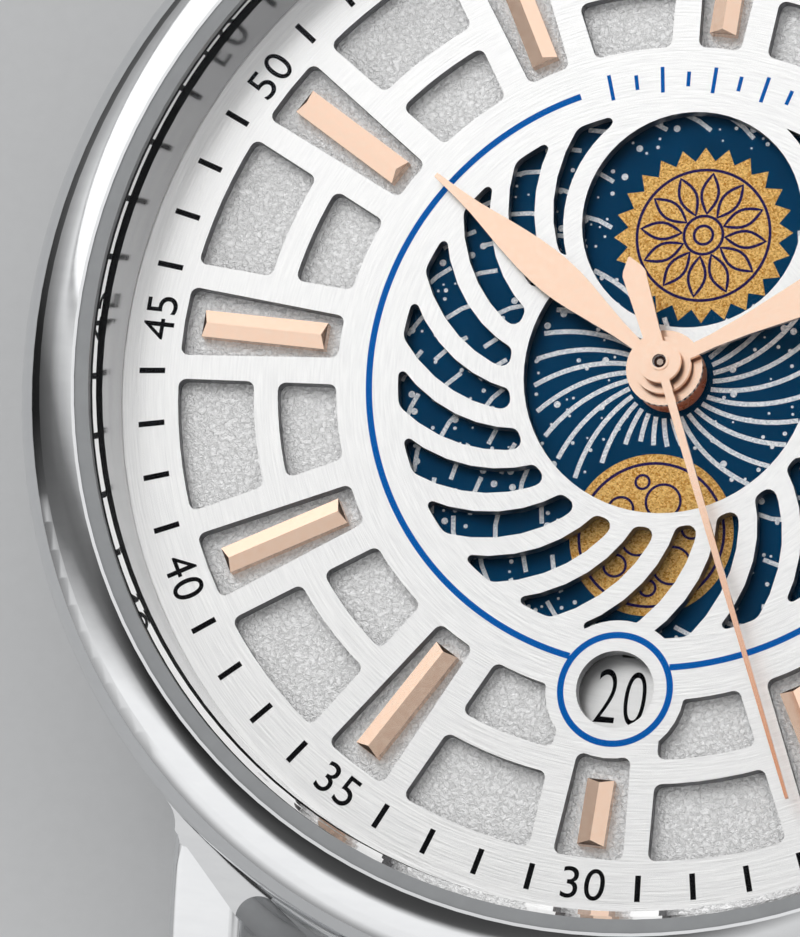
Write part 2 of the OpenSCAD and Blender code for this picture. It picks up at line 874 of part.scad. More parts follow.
disc_r = slot_r1 + 0.2;
module dial_base() {
    color("lightgray")
        difference() {
            ring(disc_r + 0.15, dial_r, base_z0, plate_z0);
            pin([0, -date_y], date_r + 0.12, base_z0 - 1, plate_z0 + 1);
        }
}

// Hour marker: a bar with a ridged roof and sloping ends, flat side down. Its sides are upright for
// this share of its height.
marker_upright = 0.7;

module marker(length) {
    wall = marker_h * marker_upright;
    slope = 0.14;
    intersection() {
        translate([-length / 2, 0, 0])
            rotate([90, 0, 90])
                linear_extrude(length)
                    polygon([
                        [-marker_w / 2, 0], [marker_w / 2, 0], [marker_w / 2, wall], [0, marker_h],
                        [-marker_w / 2, wall]
                    ]);
        translate([0, marker_w / 2 + 1, 0])
            rotate([90, 0, 0])
                linear_extrude(marker_w + 2)
                    polygon([
                        [-length / 2, -1], [length / 2, -1], [length / 2, wall],
                        [length / 2 - slope, marker_h + e], [slope - length / 2, marker_h + e],
                        [-length / 2, wall]
                    ]);
    }
}

marker_mid = 13.05;
short_l = marker_l * 0.525;
short_mid = 14.15;
module hour_markers() {
    color("peachpuff")
        for (h = [0 : 11])
            rotate(90 - h * 30)
                translate([h == 6 ? short_mid : marker_mid, 0, plate_z0])
                    marker(h == 6 ? short_l : marker_l);
}

module day_night_disc() {
    color("midnightblue")
        ring(night_out, disc_r, disc_z0 + 0.05, disc_z0 + 0.05 + disc_t);
}

// Leaf outline along +X: half-widths at shares of the length, mirrored about the axis
function leaf(l, w) =
    let(
        stations = [
            [0.05, 0.28], [0.12, 0.29], [0.2, 0.42], [0.3, 0.67], [0.36, 0.83], [0.42, 0.95], [0.48, 1],
            [0.53, 0.98], [0.59, 0.91], [0.65, 0.79], [0.71, 0.65], [0.77, 0.49], [0.83, 0.34],
            [0.9, 0.23], [1, 0.12]
        ],
        up = [for (s = stations) [s[0] * l, s[1] * w]],
        last = len(up) - 1
    )
    concat(up, [for (i = [0 : last]) [up[last - i][0], -up[last - i][1]]]);

module hand_hub(bore, hub, collar, z0, collar_z0) {
    translate([0, 0, z0])
        cylinder(h = hand_t, r = hub, $fn = round_fn);
    translate([0, 0, collar_z0])
        cylinder(h = z0 - collar_z0 + e, r = collar, $fn = round_fn);
}

hour_hub = 1.21;
minute_hub = 0.91;
second_hub = 0.67;

module hour_hand() {
    color("peachpuff")
        difference() {
            union() {
                hand_hub(hour_out, hour_hub, hour_out + 0.2, hour_z0, dial_z + 0.08);
                translate([0, 0, hour_z0])
                    rotate(90 - hour_turn)
                        linear_extrude(hand_t)
                            polygon(leaf(hour_l, 0.635));
            }
            pin([0, 0], hour_out, 0, 20);
        }
}

module minute_hand() {
    color("peachpuff")
        difference() {
            union() {
                hand_hub(cannon_out, minute_hub, cannon_out + 0.2, minute_z0, hour_z0 + hand_t + 0.05);
                translate([0, 0, minute_z0])
                    rotate(90 - minute_turn)
                        linear_extrude(hand_t)
                            polygon(leaf(minute_l, 0.75));
            }
            pin([0, 0], cannon_out, 0, 20);
        }
}

module second_hand() {
    color("peachpuff")
        difference() {
            union() {
                hand_hub(second_arbor_r, second_hub, second_arbor_r + 0.17, second_z0,
                    minute_z0 + hand_t + 0.06);
                translate([0, 0, second_z0])
                    rotate(90 - second_turn)
                        linear_extrude(hand_t)
                            union() {
                                polygon([[0, 0.14], [second_l, 0.05], [second_l, -0.05], [0, -0.14]]);
                                polygon([
                                    [0, 0.25], [-3, 0.37], [-3.15, 0.31], [-second_tail, 0.03],
                                    [-second_tail, -0.03], [-3.15, -0.31], [-3, -0.37], [0, -0.25]
                                ]);
                            }
                translate([0, 0, second_z0])
                    cylinder(h = hand_t + 0.05, r = second_arbor_r + 0.07, $fn = small_fn);
            }
            pin([0, 0], second_arbor_r, 0, 20);
        }
}

module date_ring() {
    pitch = 360 / date_teeth;
    color("white")
        translate([0, 0, date_z0])
            linear_extrude(date_t)
                difference() {
                    circle(r = ring_r1, $fn = fine);
                    polygon([
                        for (i = [0 : date_teeth - 1])
                            for (p = [
                                polar(ring_r0, (i + 0.16) * pitch), polar(ring_r0, (i + 0.84) * pitch),
                                polar(ring_tip, (i + 0.95) * pitch), polar(ring_tip, (i + 1.05) * pitch)
                            ]) p
                    ]);
                }
}

// Plastic ring that centres the movement in the case and carries the dial
module movement_ring() {
    color("darkgray")
        difference() {
            ring(move_r + 0.03, bore_r - 0.05, back_t + 0.05, base_z0);
            bar_x(stem_r + 0.3, move_r - 1, bore_r + 1);
            for (i = [0 : 7])
                rotate(i * 45 + 22.5)
                    pin([(move_r + bore_r) / 2, 0], 1.5, 0, back_t + 2.4);
        }
}

keyless_x0 = 6.3;
keyless_x1 = move_r - 1.5;
jumper_z = date_z0;

module main_plate() {
    stud_z1 = main_z1 + 0.33;
    color("goldenrod")
        difference() {
            union() {
                difference() {
                    union() {
                        translate([0, 0, main_z0])
                            cylinder(h = main_t, r = move_r, $fn = fine);
                        ring(ring_r0 + 0.06, move_r, main_z1 - e, date_z0 - 0.06);
                        ring(ring_r1 + 0.1, move_r, main_z1 - e, base_z0);
                    }
                    translate([keyless_x0, -1, main_z0 - 1])
                        cube([keyless_x1 - keyless_x0, 2, main_t + 2]);
                    translate([keyless_x0, -3.9, main_z1])
                        cube([ring_r1 - 0.4 - keyless_x0, 7.6, 3]);
                }
                translate([keyless_x1 - 0.2, -1.2, stem_z - 0.9])
                    cube([1.6, 2.4, 1.7]);
                for (p = pillars)
                    pin(p, pillar_r, bridge_z1, main_z0 + e);
                for (p = clamps)
                    pin(p, pillar_r, main_z0 - battery_t, main_z0 + e);
                for (x = stator_arms)
                    pin([x, coil_at[1]], 0.6, stator_z + 0.4, main_z0 + e);
                pin(minute_at, 0.13, main_z1 - e, date_z0 + date_t);
                pin(date_at, 0.3, main_z1 - e, date_z0 + date_t);
                pin(setting_at, 0.35, main_z1 - e, stud_z1);
                pin(lever_at, 0.3, main_z1 - e, stud_z1);
                pin(yoke_at, 0.3, main_z1 - e, main_z1 + 0.5);
                pin(jumper_at, 0.5, main_z1 - e, jumper_z);
            }
            pin([0, 0], cannon_in + 0.3, 0, 20);
            bar_x(stem_r + run_gap, keyless_x1 - 1, move_r + 1);
            bar_x(0.25 + run_gap, pilot_x - 0.4, keyless_x0 + 1);
            pin(third_at, pivot_r + run_gap, main_z0 - 1, main_z0 + 0.4);
            pin(inter_at, pivot_r + run_gap, main_z0 - 1, main_z0 + 0.4);
            pin(rotor_at, pivot_r + run_gap, main_z0 - 1, main_z0 + 0.4);
            pin(jumper_at, screw_r, main_z1 + 0.1, 20);
            for (p = pillars)
                pin(p, screw_r, 0, bridge_z1 + 1);
            for (p = clamps)
                pin(p, screw_r, 0, main_z0 - battery_t + 1);
            for (x = stator_arms)
                pin([x, coil_at[1]], screw_r, 0, main_z0 - 0.05);
        }
}

module train_bridge() {
    color("gold")
        difference() {
            translate([0, 0, bridge_z0])
                linear_extrude(bridge_t)
                    polygon(rounded([
                        [-9.8, -1.7, 0.9], [-9.8, -4.3, 0.9], [-2.9, -7.1, 0.9], [5.9, -6.7, 0.9],
                        [6.7, -3, 2], [6.3, 4.4, 0.9], [4, 4.4, 0.9], [0.5, 1.4, 1.5]
                    ], 8));
            pin(battery_at, battery_r + 0.25, 0, 10);
            pin([0, 0], 0.15 + run_gap, 0, 10);
            for (p = [third_at, inter_at, rotor_at])
                pin(p, pivot_r + run_gap, 0, 10);
            for (p = pillars)
                pin(p, screw_r + 0.05, 0, 10);
        }
}

module bridge_screws() {
    color("steelblue")
        for (p = pillars)
            screw(p, bridge_z0, bridge_t + 0.9);
}

module battery() {
    color("silver")
        translate([battery_at[0], battery_at[1], main_z0 - battery_t])
            union() {
                cylinder(h = battery_t - 0.35, r = battery_r, $fn = fine);
                cylinder(h = battery_t - e, r = battery_r - 0.8, $fn = fine);
            }
}

clamp_z0 = main_z0 - battery_t - 0.2;
module battery_clamp() {
    color("silver")
        difference() {
            translate([battery_at[0], battery_at[1], clamp_z0])
                rotate(45)
                    linear_extrude(0.2)
                        polygon(rounded([
                            [-clamp_reach - 0.8, -0.8, 0.7], [clamp_reach + 0.8, -0.8, 0.7],
                            [clamp_reach + 0.8, 0.8, 0.7], [-clamp_reach - 0.8, 0.8, 0.7]
                        ], 6));
            for (p = clamps)
                pin(p, screw_r + 0.05, 0, 10);
        }
}

module clamp_screws() {
    color("steelblue")
        for (p = clamps)
            screw(p, clamp_z0, 1.1);
}

core_t = 0.6;
core_z = stator_z - core_t;
coil_z = core_z + core_t / 2;

module coil() {
    color("peru")
        difference() {
            translate([coil_at[0] - coil_l / 2, coil_at[1], coil_z])
                rotate([0, 90, 0])
                    union() {
                        cylinder(h = coil_l, r = 0.95, $fn = round_fn);
                        for (z = [0, coil_l - 0.25])
                            translate([0, 0, z])
                                cylinder(h = 0.25, r = 1.05, $fn = round_fn);
                    }
            translate([coil_at[0] - coil_l, coil_at[1] - core_w / 2, core_z])
                cube([2 * coil_l, core_w, core_t]);
        }
}

module coil_core() {
    color("gray")
        difference() {
            translate([coil_at[0] - core_l / 2, coil_at[1] - core_w / 2, core_z])
                cube([core_l, core_w, core_t]);
            for (x = stator_arms)
                pin([x, coil_at[1]], screw_r + 0.05, 0, 10);
        }
}

module stator() {
    arm = 0.7;
    y1 = coil_at[1] - core_w / 2;
    y2 = rotor_at[1] + 1.1;
    y3 = rotor_at[1] - 1.3;
    color("lightslategray")
        difference() {
            translate([0, 0, stator_z])
                linear_extrude(0.4)
                    polygon(rounded([
                        [stator_arms[0] - arm, y1, 0.3], [stator_arms[0] + arm, y1, 0.3],
                        [stator_arms[0] + arm, y3, 0.3], [stator_arms[1] - arm, y3, 0.3],
                        [stator_arms[1] - arm, y1, 0.3], [stator_arms[1] + arm, y1, 0.3],
                        [stator_arms[1] + arm, y2, 0.6], [stator_arms[0] - arm, y2, 0.6]
                    ]));
            pin(rotor_at, 0.9, 0, 10);
            pin(inter_at, pivot_r + 0.2, 0, 10);
            for (x = stator_arms)
                pin([x, coil_at[1]], screw_r + 0.05, 0, 10);
        }
}

module stator_screws() {
    color("steelblue")
        for (x = stator_arms)
            screw([x, coil_at[1]], core_z, core_t + 0.7);
}

board_t = 0.3;
board_z = main_z0 - board_t;
module circuit_board() {
    color("seagreen")
        translate([0, 0, board_z])
            linear_extrude(board_t)
                polygon(rounded([
                    [6.2, -1.9, 0.4], [6.2, -8.4, 0.6], [7.6, -9.6, 0.6], [10.1, -7.2, 0.6],
                    [11.8, -3.4, 0.6], [11.8, -1.9, 0.4]
                ]));
}

module chip() {
    color("black")
        translate([10.2, -3.6, board_z - 0.35])
            cylinder(h = 0.35, r = 1, $fn = round_fn);
}

module quartz_can() {
    color("silver")
        translate([7.9, -8.1, board_z - 0.77])
            rotate([-90, 0, 0])
                union() {
                    cylinder(h = 4.9, r = 0.75, $fn = round_fn);
                    translate([0, 0, 4.9 - e])
                        cylinder(h = 0.3, r = 0.6, $fn = round_fn);
                }
}

module rotor() {
    color("darkslategray")
        translate([rotor_at[0], rotor_at[1], 0])
            union() {
                toothed(rotor_n, inter_m, 0, inter_z - 0.05, inter_z + 0.26);
                pin([0, 0], 0.75, inter_z + 0.25, stator_z + 0.45);
                pin([0, 0], pivot_r, bridge_z0 + 0.05, main_z0 + 0.3);
            }
}

module intermediate_wheel() {
    color("gold")
        translate([inter_at[0], inter_at[1], 0])
            union() {
                difference() {
                    toothed(inter_n, inter_m, mesh(0, rotor_n, inter_n, rotor_dir + 180), inter_z,
                        inter_z + wheel_t);
                    crossings(4, 0.42, 1.25, inter_z, inter_z + wheel_t);
                }
                toothed(inter_p, second_m, 0, second_z - 0.1, second_z + 0.41);
                pin([0, 0], pivot_r, bridge_z0 + 0.05, main_z0 + 0.3);
            }
}

module second_wheel() {
    color("gold")
        union() {
            difference() {
                toothed(second_n, second_m, mesh(0, inter_p, second_n, inter_dir + 180), second_z,
                    second_z + wheel_t);
                crossings(5, 0.5, 1.4, second_z, second_z + wheel_t);
            }
            toothed(second_p, third_m, 0, bridge_z1 + 0.05, second_z + e);
            pin([0, 0], second_arbor_r, bridge_z1 + 0.05, second_z0 + hand_t - 0.1);
            pin([0, 0], 0.15, bridge_z0 + 0.05, bridge_z1 + 0.06);
        }
}

module third_wheel() {
    color("gold")
        translate([third_at[0], third_at[1], 0])
            union() {
                difference() {
                    toothed(third_n, third_m, mesh(0, second_p, third_n, third_dir), third_z,
                        third_z + wheel_t);
                    crossings(5, 0.6, 1.6, third_z, third_z + wheel_t);
                }
                toothed(third_p, centre_m, 0, third_z + wheel_t - e, centre_z + 0.4);
                pin([0, 0], pivot_r, bridge_z0 + 0.05, main_z0 + 0.3);
            }
}

module centre_wheel() {
    color("gold")
        difference() {
            union() {
                difference() {
                    toothed(centre_n, centre_m, mesh(0, third_p, centre_n, third_dir + 180), centre_z,
                        centre_z + wheel_t);
                    crossings(5, 0.6, 1.7, centre_z, centre_z + wheel_t);
                }
                pin([0, 0], centre_out, centre_z - 0.15, minute_z0 - 0.1);
            }
            pin([0, 0], centre_in, 0, 20);
        }
}

module cannon_pinion() {
    color("lightsteelblue")
        difference() {
            union() {
                toothed(cannon_n, cannon_m, 0, main_z1 + 0.06, main_z1 + 0.34);
                pin([0, 0], cannon_out, main_z1 + 0.06, minute_z0 + hand_t);
            }
            pin([0, 0], cannon_in, 0, 20);
        }
}

minute_phase = mesh(0, cannon_n, minute_n, minute_dir);
module minute_wheel() {
    color("gold")
        translate([minute_at[0], minute_at[1], 0])
            difference() {
                union() {
                    difference() {
                        toothed(minute_n, cannon_m, minute_phase, minute_z, minute_z + motion_t);
                        crossings(5, 0.5, 1.55, minute_z, minute_z + motion_t);
                    }
                    toothed(minute_p, hour_m, 0, minute_z + motion_t - e, hour_z + motion_t + 0.02);
                    toothed(night_p, night_m, 0, hour_z + motion_t, night_z + motion_t + 0.04);
                }
                pin([0, 0], 0.13 + run_gap / 2, 0, 20);
            }
}

module hour_wheel() {
    color("gold")
        difference() {
            union() {
                toothed(hour_n, hour_m, mesh(0, minute_p, hour_n, minute_dir + 180), hour_z,
                    hour_z + motion_t);
                pin([0, 0], hour_out, hour_z, hour_z0 + hand_t);
            }
            pin([0, 0], hour_in, 0, 20);
            crossings(6, 0.42, 1.75, hour_z, hour_z + motion_t);
        }
}

night_phase = mesh(0, night_p, night_n, minute_dir + 180);
module day_night_wheel() {
    color("gold")
        difference() {
            union() {
                toothed(night_n, night_m, night_phase, night_z, night_z + motion_t);
                pin([0, 0], night_out - e, night_z, disc_z0 + 0.05 + disc_t);
            }
            pin([0, 0], night_in, 0, 20);
            crossings(6, 0.45, 2.05, night_z, night_z + motion_t);
        }
}

// Turns once a day and pushes the date ring on by one tooth with its finger
module date_driving_wheel() {
    finger_dir = date_dir + 135;
    color("white")
        translate([date_at[0], date_at[1], 0])
            difference() {
                union() {
                    toothed(night_n, night_m, mesh(night_phase, night_n, night_n, date_dir), night_z,
                        night_z + motion_t);
                    pin([0, 0], 0.7, night_z, date_z0 + date_t);
                    rotate(finger_dir)
                        translate([0, 0, date_z0])
                            linear_extrude(date_t)
                                polygon([
                                    [0, -0.5], [finger_r - 0.5, -0.3], [finger_r, -0.05], [finger_r, 0.1],
                                    [finger_r - 0.7, 0.3], [0, 0.6]
                                ]);
                }
                pin([0, 0], 0.3 + run_gap, 0, 20);
            }
}

// Spring lever that holds the date ring between two jumps
module date_jumper() {
    beak = polar(ring_tip - 0.06, 102);
    color("lightsteelblue")
        difference() {
            translate([0, 0, jumper_z])
                linear_extrude(date_t)
                    polygon(rounded([
                        [jumper_at[0] + 0.75, jumper_at[1] + 0.2, 0.3],
                        [jumper_at[0] + 0.3, jumper_at[1] + 0.8, 0.3],
                        [1.4, 6.9, 0.8], [beak[0] + 0.5, beak[1] - 0.3, 0.05], [beak[0], beak[1], 0.04],
                        [beak[0] - 0.35, beak[1] - 0.6, 0.1], [1.1, 6.3, 0.8],
                        [jumper_at[0] - 0.75, jumper_at[1] - 0.1, 0.3],
                        [jumper_at[0], jumper_at[1] - 0.75, 0.3]
                    ]));
            pin(jumper_at, screw_r + 0.05, 0, 20);
        }
}

module jumper_screw() {
    color("steelblue")
        pin(jumper_at, screw_r - e, main_z1 + 0.3, jumper_z + date_t);
}

module setting_wheel() {
    color("gold")
        translate([setting_at[0], setting_at[1], 0])
            difference() {
                toothed(setting_n, cannon_m, mesh(minute_phase, minute_n, setting_n, setting_dir),
                    minute_z, minute_z + motion_t);
                pin([0, 0], 0.35 + run_gap, 0, 20);
            }
}

lever_z = main_z1 + 0.1;
lever_angle = asin(crown_pull / 2 / lever_arm);
module setting_lever() {
    color("lightsteelblue")
        translate([lever_at[0], lever_at[1], 0])
            rotate(-lever_angle)
                difference() {
                    union() {
                        translate([0, 0, lever_z])
                            linear_extrude(0.2)
                                polygon(rounded([
                                    [-0.6, 0.6, 0.4], [0.9, 0.6, 0.3], [0.7, -0.3, 0.2],
                                    [0.35, -lever_arm - 0.35, 0.3], [-0.35, -lever_arm - 0.35, 0.3],
                                    [-0.6, -0.5, 0.3]
                                ]));
                        pin([0, -lever_arm], 0.2, stem_z + 0.3, lever_z + e);
                    }
                    pin([0, 0], 0.3 + run_gap, 0, 20);
                }
}

pinion_x0 = 7;
pinion_groove = [7.5, 7.8];
pinion_x1 = 8.2;
module yoke() {
    z0 = main_z1 + 0.3;
    tip_x = (pinion_groove[0] + pinion_groove[1]) / 2;
    color("lightsteelblue")
        difference() {
            union() {
                translate([0, 0, z0])
                    linear_extrude(0.2)
                        polygon(rounded([
                            [yoke_at[0] - 0.6, yoke_at[1] - 0.5, 0.35],
                            [yoke_at[0] + 0.6, yoke_at[1] - 0.5, 0.35],
                            [yoke_at[0] + 0.6, yoke_at[1] + 0.5, 0.3], [tip_x + 0.3, 0.3, 0.2],
                            [tip_x - 0.2, 0.3, 0.15], [yoke_at[0] - 0.6, yoke_at[1] + 0.4, 0.3]
                        ]));
                pin([tip_x, 0], 0.09, stem_z + 0.55, z0 + e);
            }
            pin(yoke_at, 0.3 + run_gap, 0, 20);
        }
}

module sliding_pinion() {
    hole = square_w + 0.08;
    color("lightsteelblue")
        difference() {
            union() {
                bar_x(0.72, pinion_x0, pinion_groove[0]);
                bar_x(0.5, pinion_groove[0] - e, pinion_groove[1] + e);
                bar_x(0.72, pinion_groove[1], pinion_x1);
            }
            translate([pinion_x0 - 1, -hole / 2, stem_z - hole / 2])
                cube([4, hole, hole]);
            for (i = [0 : 3])
                translate([pinion_x0 - 0.8, 0, stem_z])
                    rotate([i * 45, 0, 0])
                        translate([0, -0.1, -2])
                            cube([1, 0.2, 4]);
        }
}

mid_case();
bezel();
crystal();
crystal_gasket();
rehaut_ring();
case_back();
case_back_gasket();
crown_tube();
crown();
crown_gasket();
winding_stem();
dial_plate();
dial_base();
hour_markers();
day_night_disc();
date_ring();
hour_hand();
minute_hand();
second_hand();
movement_ring();
main_plate();
train_bridge();
bridge_screws();
battery();
battery_clamp();
clamp_screws();
coil();
coil_core();
stator();
stator_screws();
circuit_board();
chip();
quartz_can();
rotor();
intermediate_wheel();
second_wheel();
third_wheel();
centre_wheel();
cannon_pinion();
minute_wheel();
hour_wheel();
day_night_wheel();
date_driving_wheel();
date_jumper();
jumper_screw();
setting_wheel();
setting_lever();
yoke();
sliding_pinion();
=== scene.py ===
# %% [markdown]
# # A quartz watch with a day and night disc
#
# This lesson dresses a finished CAD model of a wristwatch head. The shapes of the case, the pierced
# dial, the hands and the movement come from the CAD frame and stay as they are. What is made here is
# everything that a watchmaker would print, plate, brush or polish on them. We start by loading the
# frame, because every piece made later rides on one of its bodies.

# %% Load the frame
import math
import random

import bmesh
import bpy
from mathutils import Matrix, Vector


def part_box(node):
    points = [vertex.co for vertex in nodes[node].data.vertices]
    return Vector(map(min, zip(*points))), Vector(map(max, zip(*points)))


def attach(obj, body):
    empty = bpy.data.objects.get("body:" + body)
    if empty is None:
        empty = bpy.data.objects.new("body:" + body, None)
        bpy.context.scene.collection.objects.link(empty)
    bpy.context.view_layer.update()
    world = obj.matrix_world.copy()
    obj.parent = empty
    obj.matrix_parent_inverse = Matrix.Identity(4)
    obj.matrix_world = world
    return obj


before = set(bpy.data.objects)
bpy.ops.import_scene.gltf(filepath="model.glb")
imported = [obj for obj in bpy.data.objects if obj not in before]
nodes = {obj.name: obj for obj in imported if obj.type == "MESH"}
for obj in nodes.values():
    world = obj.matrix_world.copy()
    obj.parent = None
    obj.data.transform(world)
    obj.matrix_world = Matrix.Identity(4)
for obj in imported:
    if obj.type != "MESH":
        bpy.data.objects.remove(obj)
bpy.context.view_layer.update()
MM = 0.001

# %% [markdown]
# ## Three small tools
#
# Colours are written as sRGB hex, as a paint maker gives them, and one function turns them into the
# linear values that a shader works with. A second function adds a shader node, sets its values and
# joins its sockets. A short helper starts each finish from Blender's general surface shader.

# %% Colour, node and finish helpers
def colour(code):
    parts = [int(code[i:i + 2], 16) / 255 for i in (1, 3, 5)]
    return [p / 12.92 if p <= 0.04045 else ((p + 0.055) / 1.055) ** 2.4 for p in parts] + [1]


def add(tree, kind, settings=None, links=None):
    node = tree.nodes.new(kind)
    for key, value in (settings or {}).items():
        if isinstance(key, int) or key in node.inputs:
            node.inputs[key].default_value = value
        else:
            setattr(node, key, value)
    for key, source in (links or {}).items():
        tree.links.new(source, node.inputs[key])
    return node


def start_finish(name, base, metallic, roughness):
    finish = bpy.data.materials.new(name)
    finish.use_nodes = True
    tree = finish.node_tree
    surface = tree.nodes["Principled BSDF"]
    surface.inputs["Base Color"].default_value = colour(base)
    surface.inputs["Metallic"].default_value = metallic
    surface.inputs["Roughness"].default_value = roughness
    return finish, tree, surface


print("white reads", colour("#FFFFFF")[:3])

# %% [markdown]
# ## Places on the surface, in millimetres
#
# Every real finish has a size: the spacing of a brush's lines, the grain of a blasted floor. To set
# those sizes directly, the patterns are given the place on the part in millimetres. A turned or
# brushed part needs a second kind of place, which runs round the axis of the hands, so that the lines
# of the brush lie in circles.

# %% Place helpers
def place_mm(tree):
    at = add(tree, "ShaderNodeTexCoord")
    return add(tree, "ShaderNodeVectorMath", {"operation": "SCALE", "Scale": 1 / MM},
               {0: at.outputs["Object"]}).outputs[0]


def off_axis(tree):
    """The place without its height, and how far it lies from the axis of the hands."""
    flat = add(tree, "ShaderNodeVectorMath", {"operation": "MULTIPLY", 1: (1, 1, 0)},
               {0: place_mm(tree)}).outputs[0]
    return flat, add(tree, "ShaderNodeVectorMath", {"operation": "LENGTH"}, {0: flat}).outputs["Value"]


def brushed_in_circles(tree, lines_per_mm, streak_mm, at_radius_mm):
    flat, radius = off_axis(tree)
    aim = add(tree, "ShaderNodeVectorMath", {"operation": "NORMALIZE"}, {0: flat})
    round_it = add(tree, "ShaderNodeVectorMath",
                   {"operation": "SCALE", "Scale": at_radius_mm / streak_mm}, {0: aim.outputs[0]})
    lines = add(tree, "ShaderNodeMath", {"operation": "MULTIPLY", 1: lines_per_mm}, {0: radius})
    up = add(tree, "ShaderNodeCombineXYZ", {}, {"Z": lines.outputs[0]})
    place = add(tree, "ShaderNodeVectorMath", {"operation": "ADD"},
                {0: round_it.outputs[0], 1: up.outputs[0]})
    return add(tree, "ShaderNodeTexNoise", {"Scale": 1, "Detail": 3, "Roughness": 0.6},
               {"Vector": place.outputs[0]}).outputs[0]


print("patterns are placed in millimetres, and one millimetre is", MM, "m")

# %% [markdown]
# ## How a pattern becomes a finish
#
# A grain or a brushed line is seen three ways at once: it is a little darker or lighter, a little
# duller or shinier, and it stands up or lies down. So one pattern drives the colour, the gloss and the
# relief together. Most of the finishes here are an even grain with no direction, and one function
# makes all of those. Another lays a second colour over part of a finish.

# %% Pattern helpers
def let_pattern_show(tree, surface, pattern, colours, gloss, depth_mm):
    tint = add(tree, "ShaderNodeMix",
               {"data_type": "RGBA", 6: colour(colours[0]), 7: colour(colours[1])}, {0: pattern})
    shine = add(tree, "ShaderNodeMapRange", {"To Min": gloss[0], "To Max": gloss[1]},
                {"Value": pattern})
    relief = add(tree, "ShaderNodeBump", {"Strength": 1, "Distance": depth_mm * MM},
                 {"Height": pattern})
    tree.links.new(tint.outputs[2], surface.inputs["Base Color"])
    tree.links.new(shine.outputs[0], surface.inputs["Roughness"])
    tree.links.new(relief.outputs[0], surface.inputs["Normal"])


def grained_finish(name, base, metallic, roughness, per_mm, detail, colours, gloss, depth_mm,
                   specular=0.5):
    finish, tree, surface = start_finish(name, base, metallic, roughness)
    surface.inputs["Specular IOR Level"].default_value = specular
    grain = add(tree, "ShaderNodeTexNoise", {"Scale": per_mm, "Detail": detail},
                {"Vector": place_mm(tree)})
    let_pattern_show(tree, surface, grain.outputs[0], colours, gloss, depth_mm)
    return finish


def lay_over(finish, other, keep):
    """Lay another colour over a finish where keep is 0, and leave it as it is where keep is 1."""
    tree = finish.node_tree
    base = tree.nodes["Principled BSDF"].inputs["Base Color"]
    mixed = add(tree, "ShaderNodeMix", {"data_type": "RGBA", 6: colour(other)},
                {0: keep, 7: base.links[0].from_socket})
    tree.links.new(mixed.outputs[2], base)


print("relief is given in millimetres: 0.01 mm is", 0.01 * MM, "m")

# %% [markdown]
# ## Camera
#
# The view is a close one of the dial's lower left, taken from the lower right through a long lens. The
# place and the lens were worked out from the minute marks, which lie on a circle of known size. The
# picture is taller than wide, so the 36 mm of the sensor lie along its height.

# %% Camera
right = Vector((0.9631737, 0.1621467, -0.2144873))
down = Vector((0.1046631, -0.9608860, -0.2564056))
ahead = Vector((-0.2476732, 0.2245142, -0.9424709))
lens = bpy.data.cameras.new("long_lens")
lens.lens = 444.4
lens.sensor_width = 36
lens.clip_start = 0.01
lens.clip_end = 50
camera = bpy.data.objects.new("camera", lens)
bpy.context.scene.collection.objects.link(camera)
turn = Matrix((right, -down, -ahead)).transposed().to_4x4()
camera.matrix_world = Matrix.Translation((0.08154, -0.08514, 0.34799)) @ turn
bpy.context.scene.camera = camera
print("camera height above the dial:", round(camera.location.z / MM), "mm")

# %% [markdown]
# ## Studio
#
# Polished steel shows nothing but the room, so the room has to be hung with care. A white tent stands
# all round the piece. Its front comes down almost to the table and its back ends higher up. A narrow
# gap is left between the two on the left, and one black card hangs almost overhead: these draw the two
# dark stripes along the rounded bezel. The camera looks in through an opening, and the dark room behind
# it shows in the facets of the markers and in the dial's rim. One round softbox in the back of the tent
# throws the soft shadows, and it hides the cloth behind it. All this could be built from panels, but
# panels would show in a wide view and take time to trace. So the world shader is the tent, and every
# direction in it is measured from the watch.

# %% Directions in the tent
CARD = Vector((-0.33, -0.06, 0.94)).normalized()
OPENING = Vector((0.43, -0.3, 0.85)).normalized()
WINDOW = Vector((-0.46, 0.52, 0.72)).normalized()
GAP_ANGLE = math.radians(5)
WINDOW_DISTANCE = 0.6
scene = bpy.context.scene
scene.view_settings.view_transform = "Standard"
tent = bpy.data.worlds.new("studio_tent")
scene.world = tent
tent.use_nodes = True
sky = tent.node_tree
aim = add(sky, "ShaderNodeTexCoord").outputs["Generated"]


def shade_along(value, stops):
    """How light the tent is along a value, each stop a place and its level."""
    node = add(sky, "ShaderNodeValToRGB", {}, {0: value})
    elements = node.color_ramp.elements
    for place, level in stops[2:]:
        elements.new(place)
    for element, (place, level) in zip(elements, stops):
        element.position = place
        element.color = (level, level, level, 1)
    return node.outputs[0]


def toward(direction):
    """1 where the tent is seen in this direction, 0 square to it and -1 opposite."""
    return add(sky, "ShaderNodeVectorMath", {"operation": "DOT_PRODUCT", 1: direction},
               {0: aim}).outputs["Value"]


print("the gap lies", round(math.degrees(GAP_ANGLE)), "degrees behind the 9 o'clock side")

# %% [markdown]
# ## White cloth
#
# The cloth is fully lit high up and falls off toward its hem. The height of each direction gives that
# through a row of grey levels, one row for the front and one for the back, because their hems differ.
# A narrow blend at the sides joins the two, where a hard edge would show in the bezel.

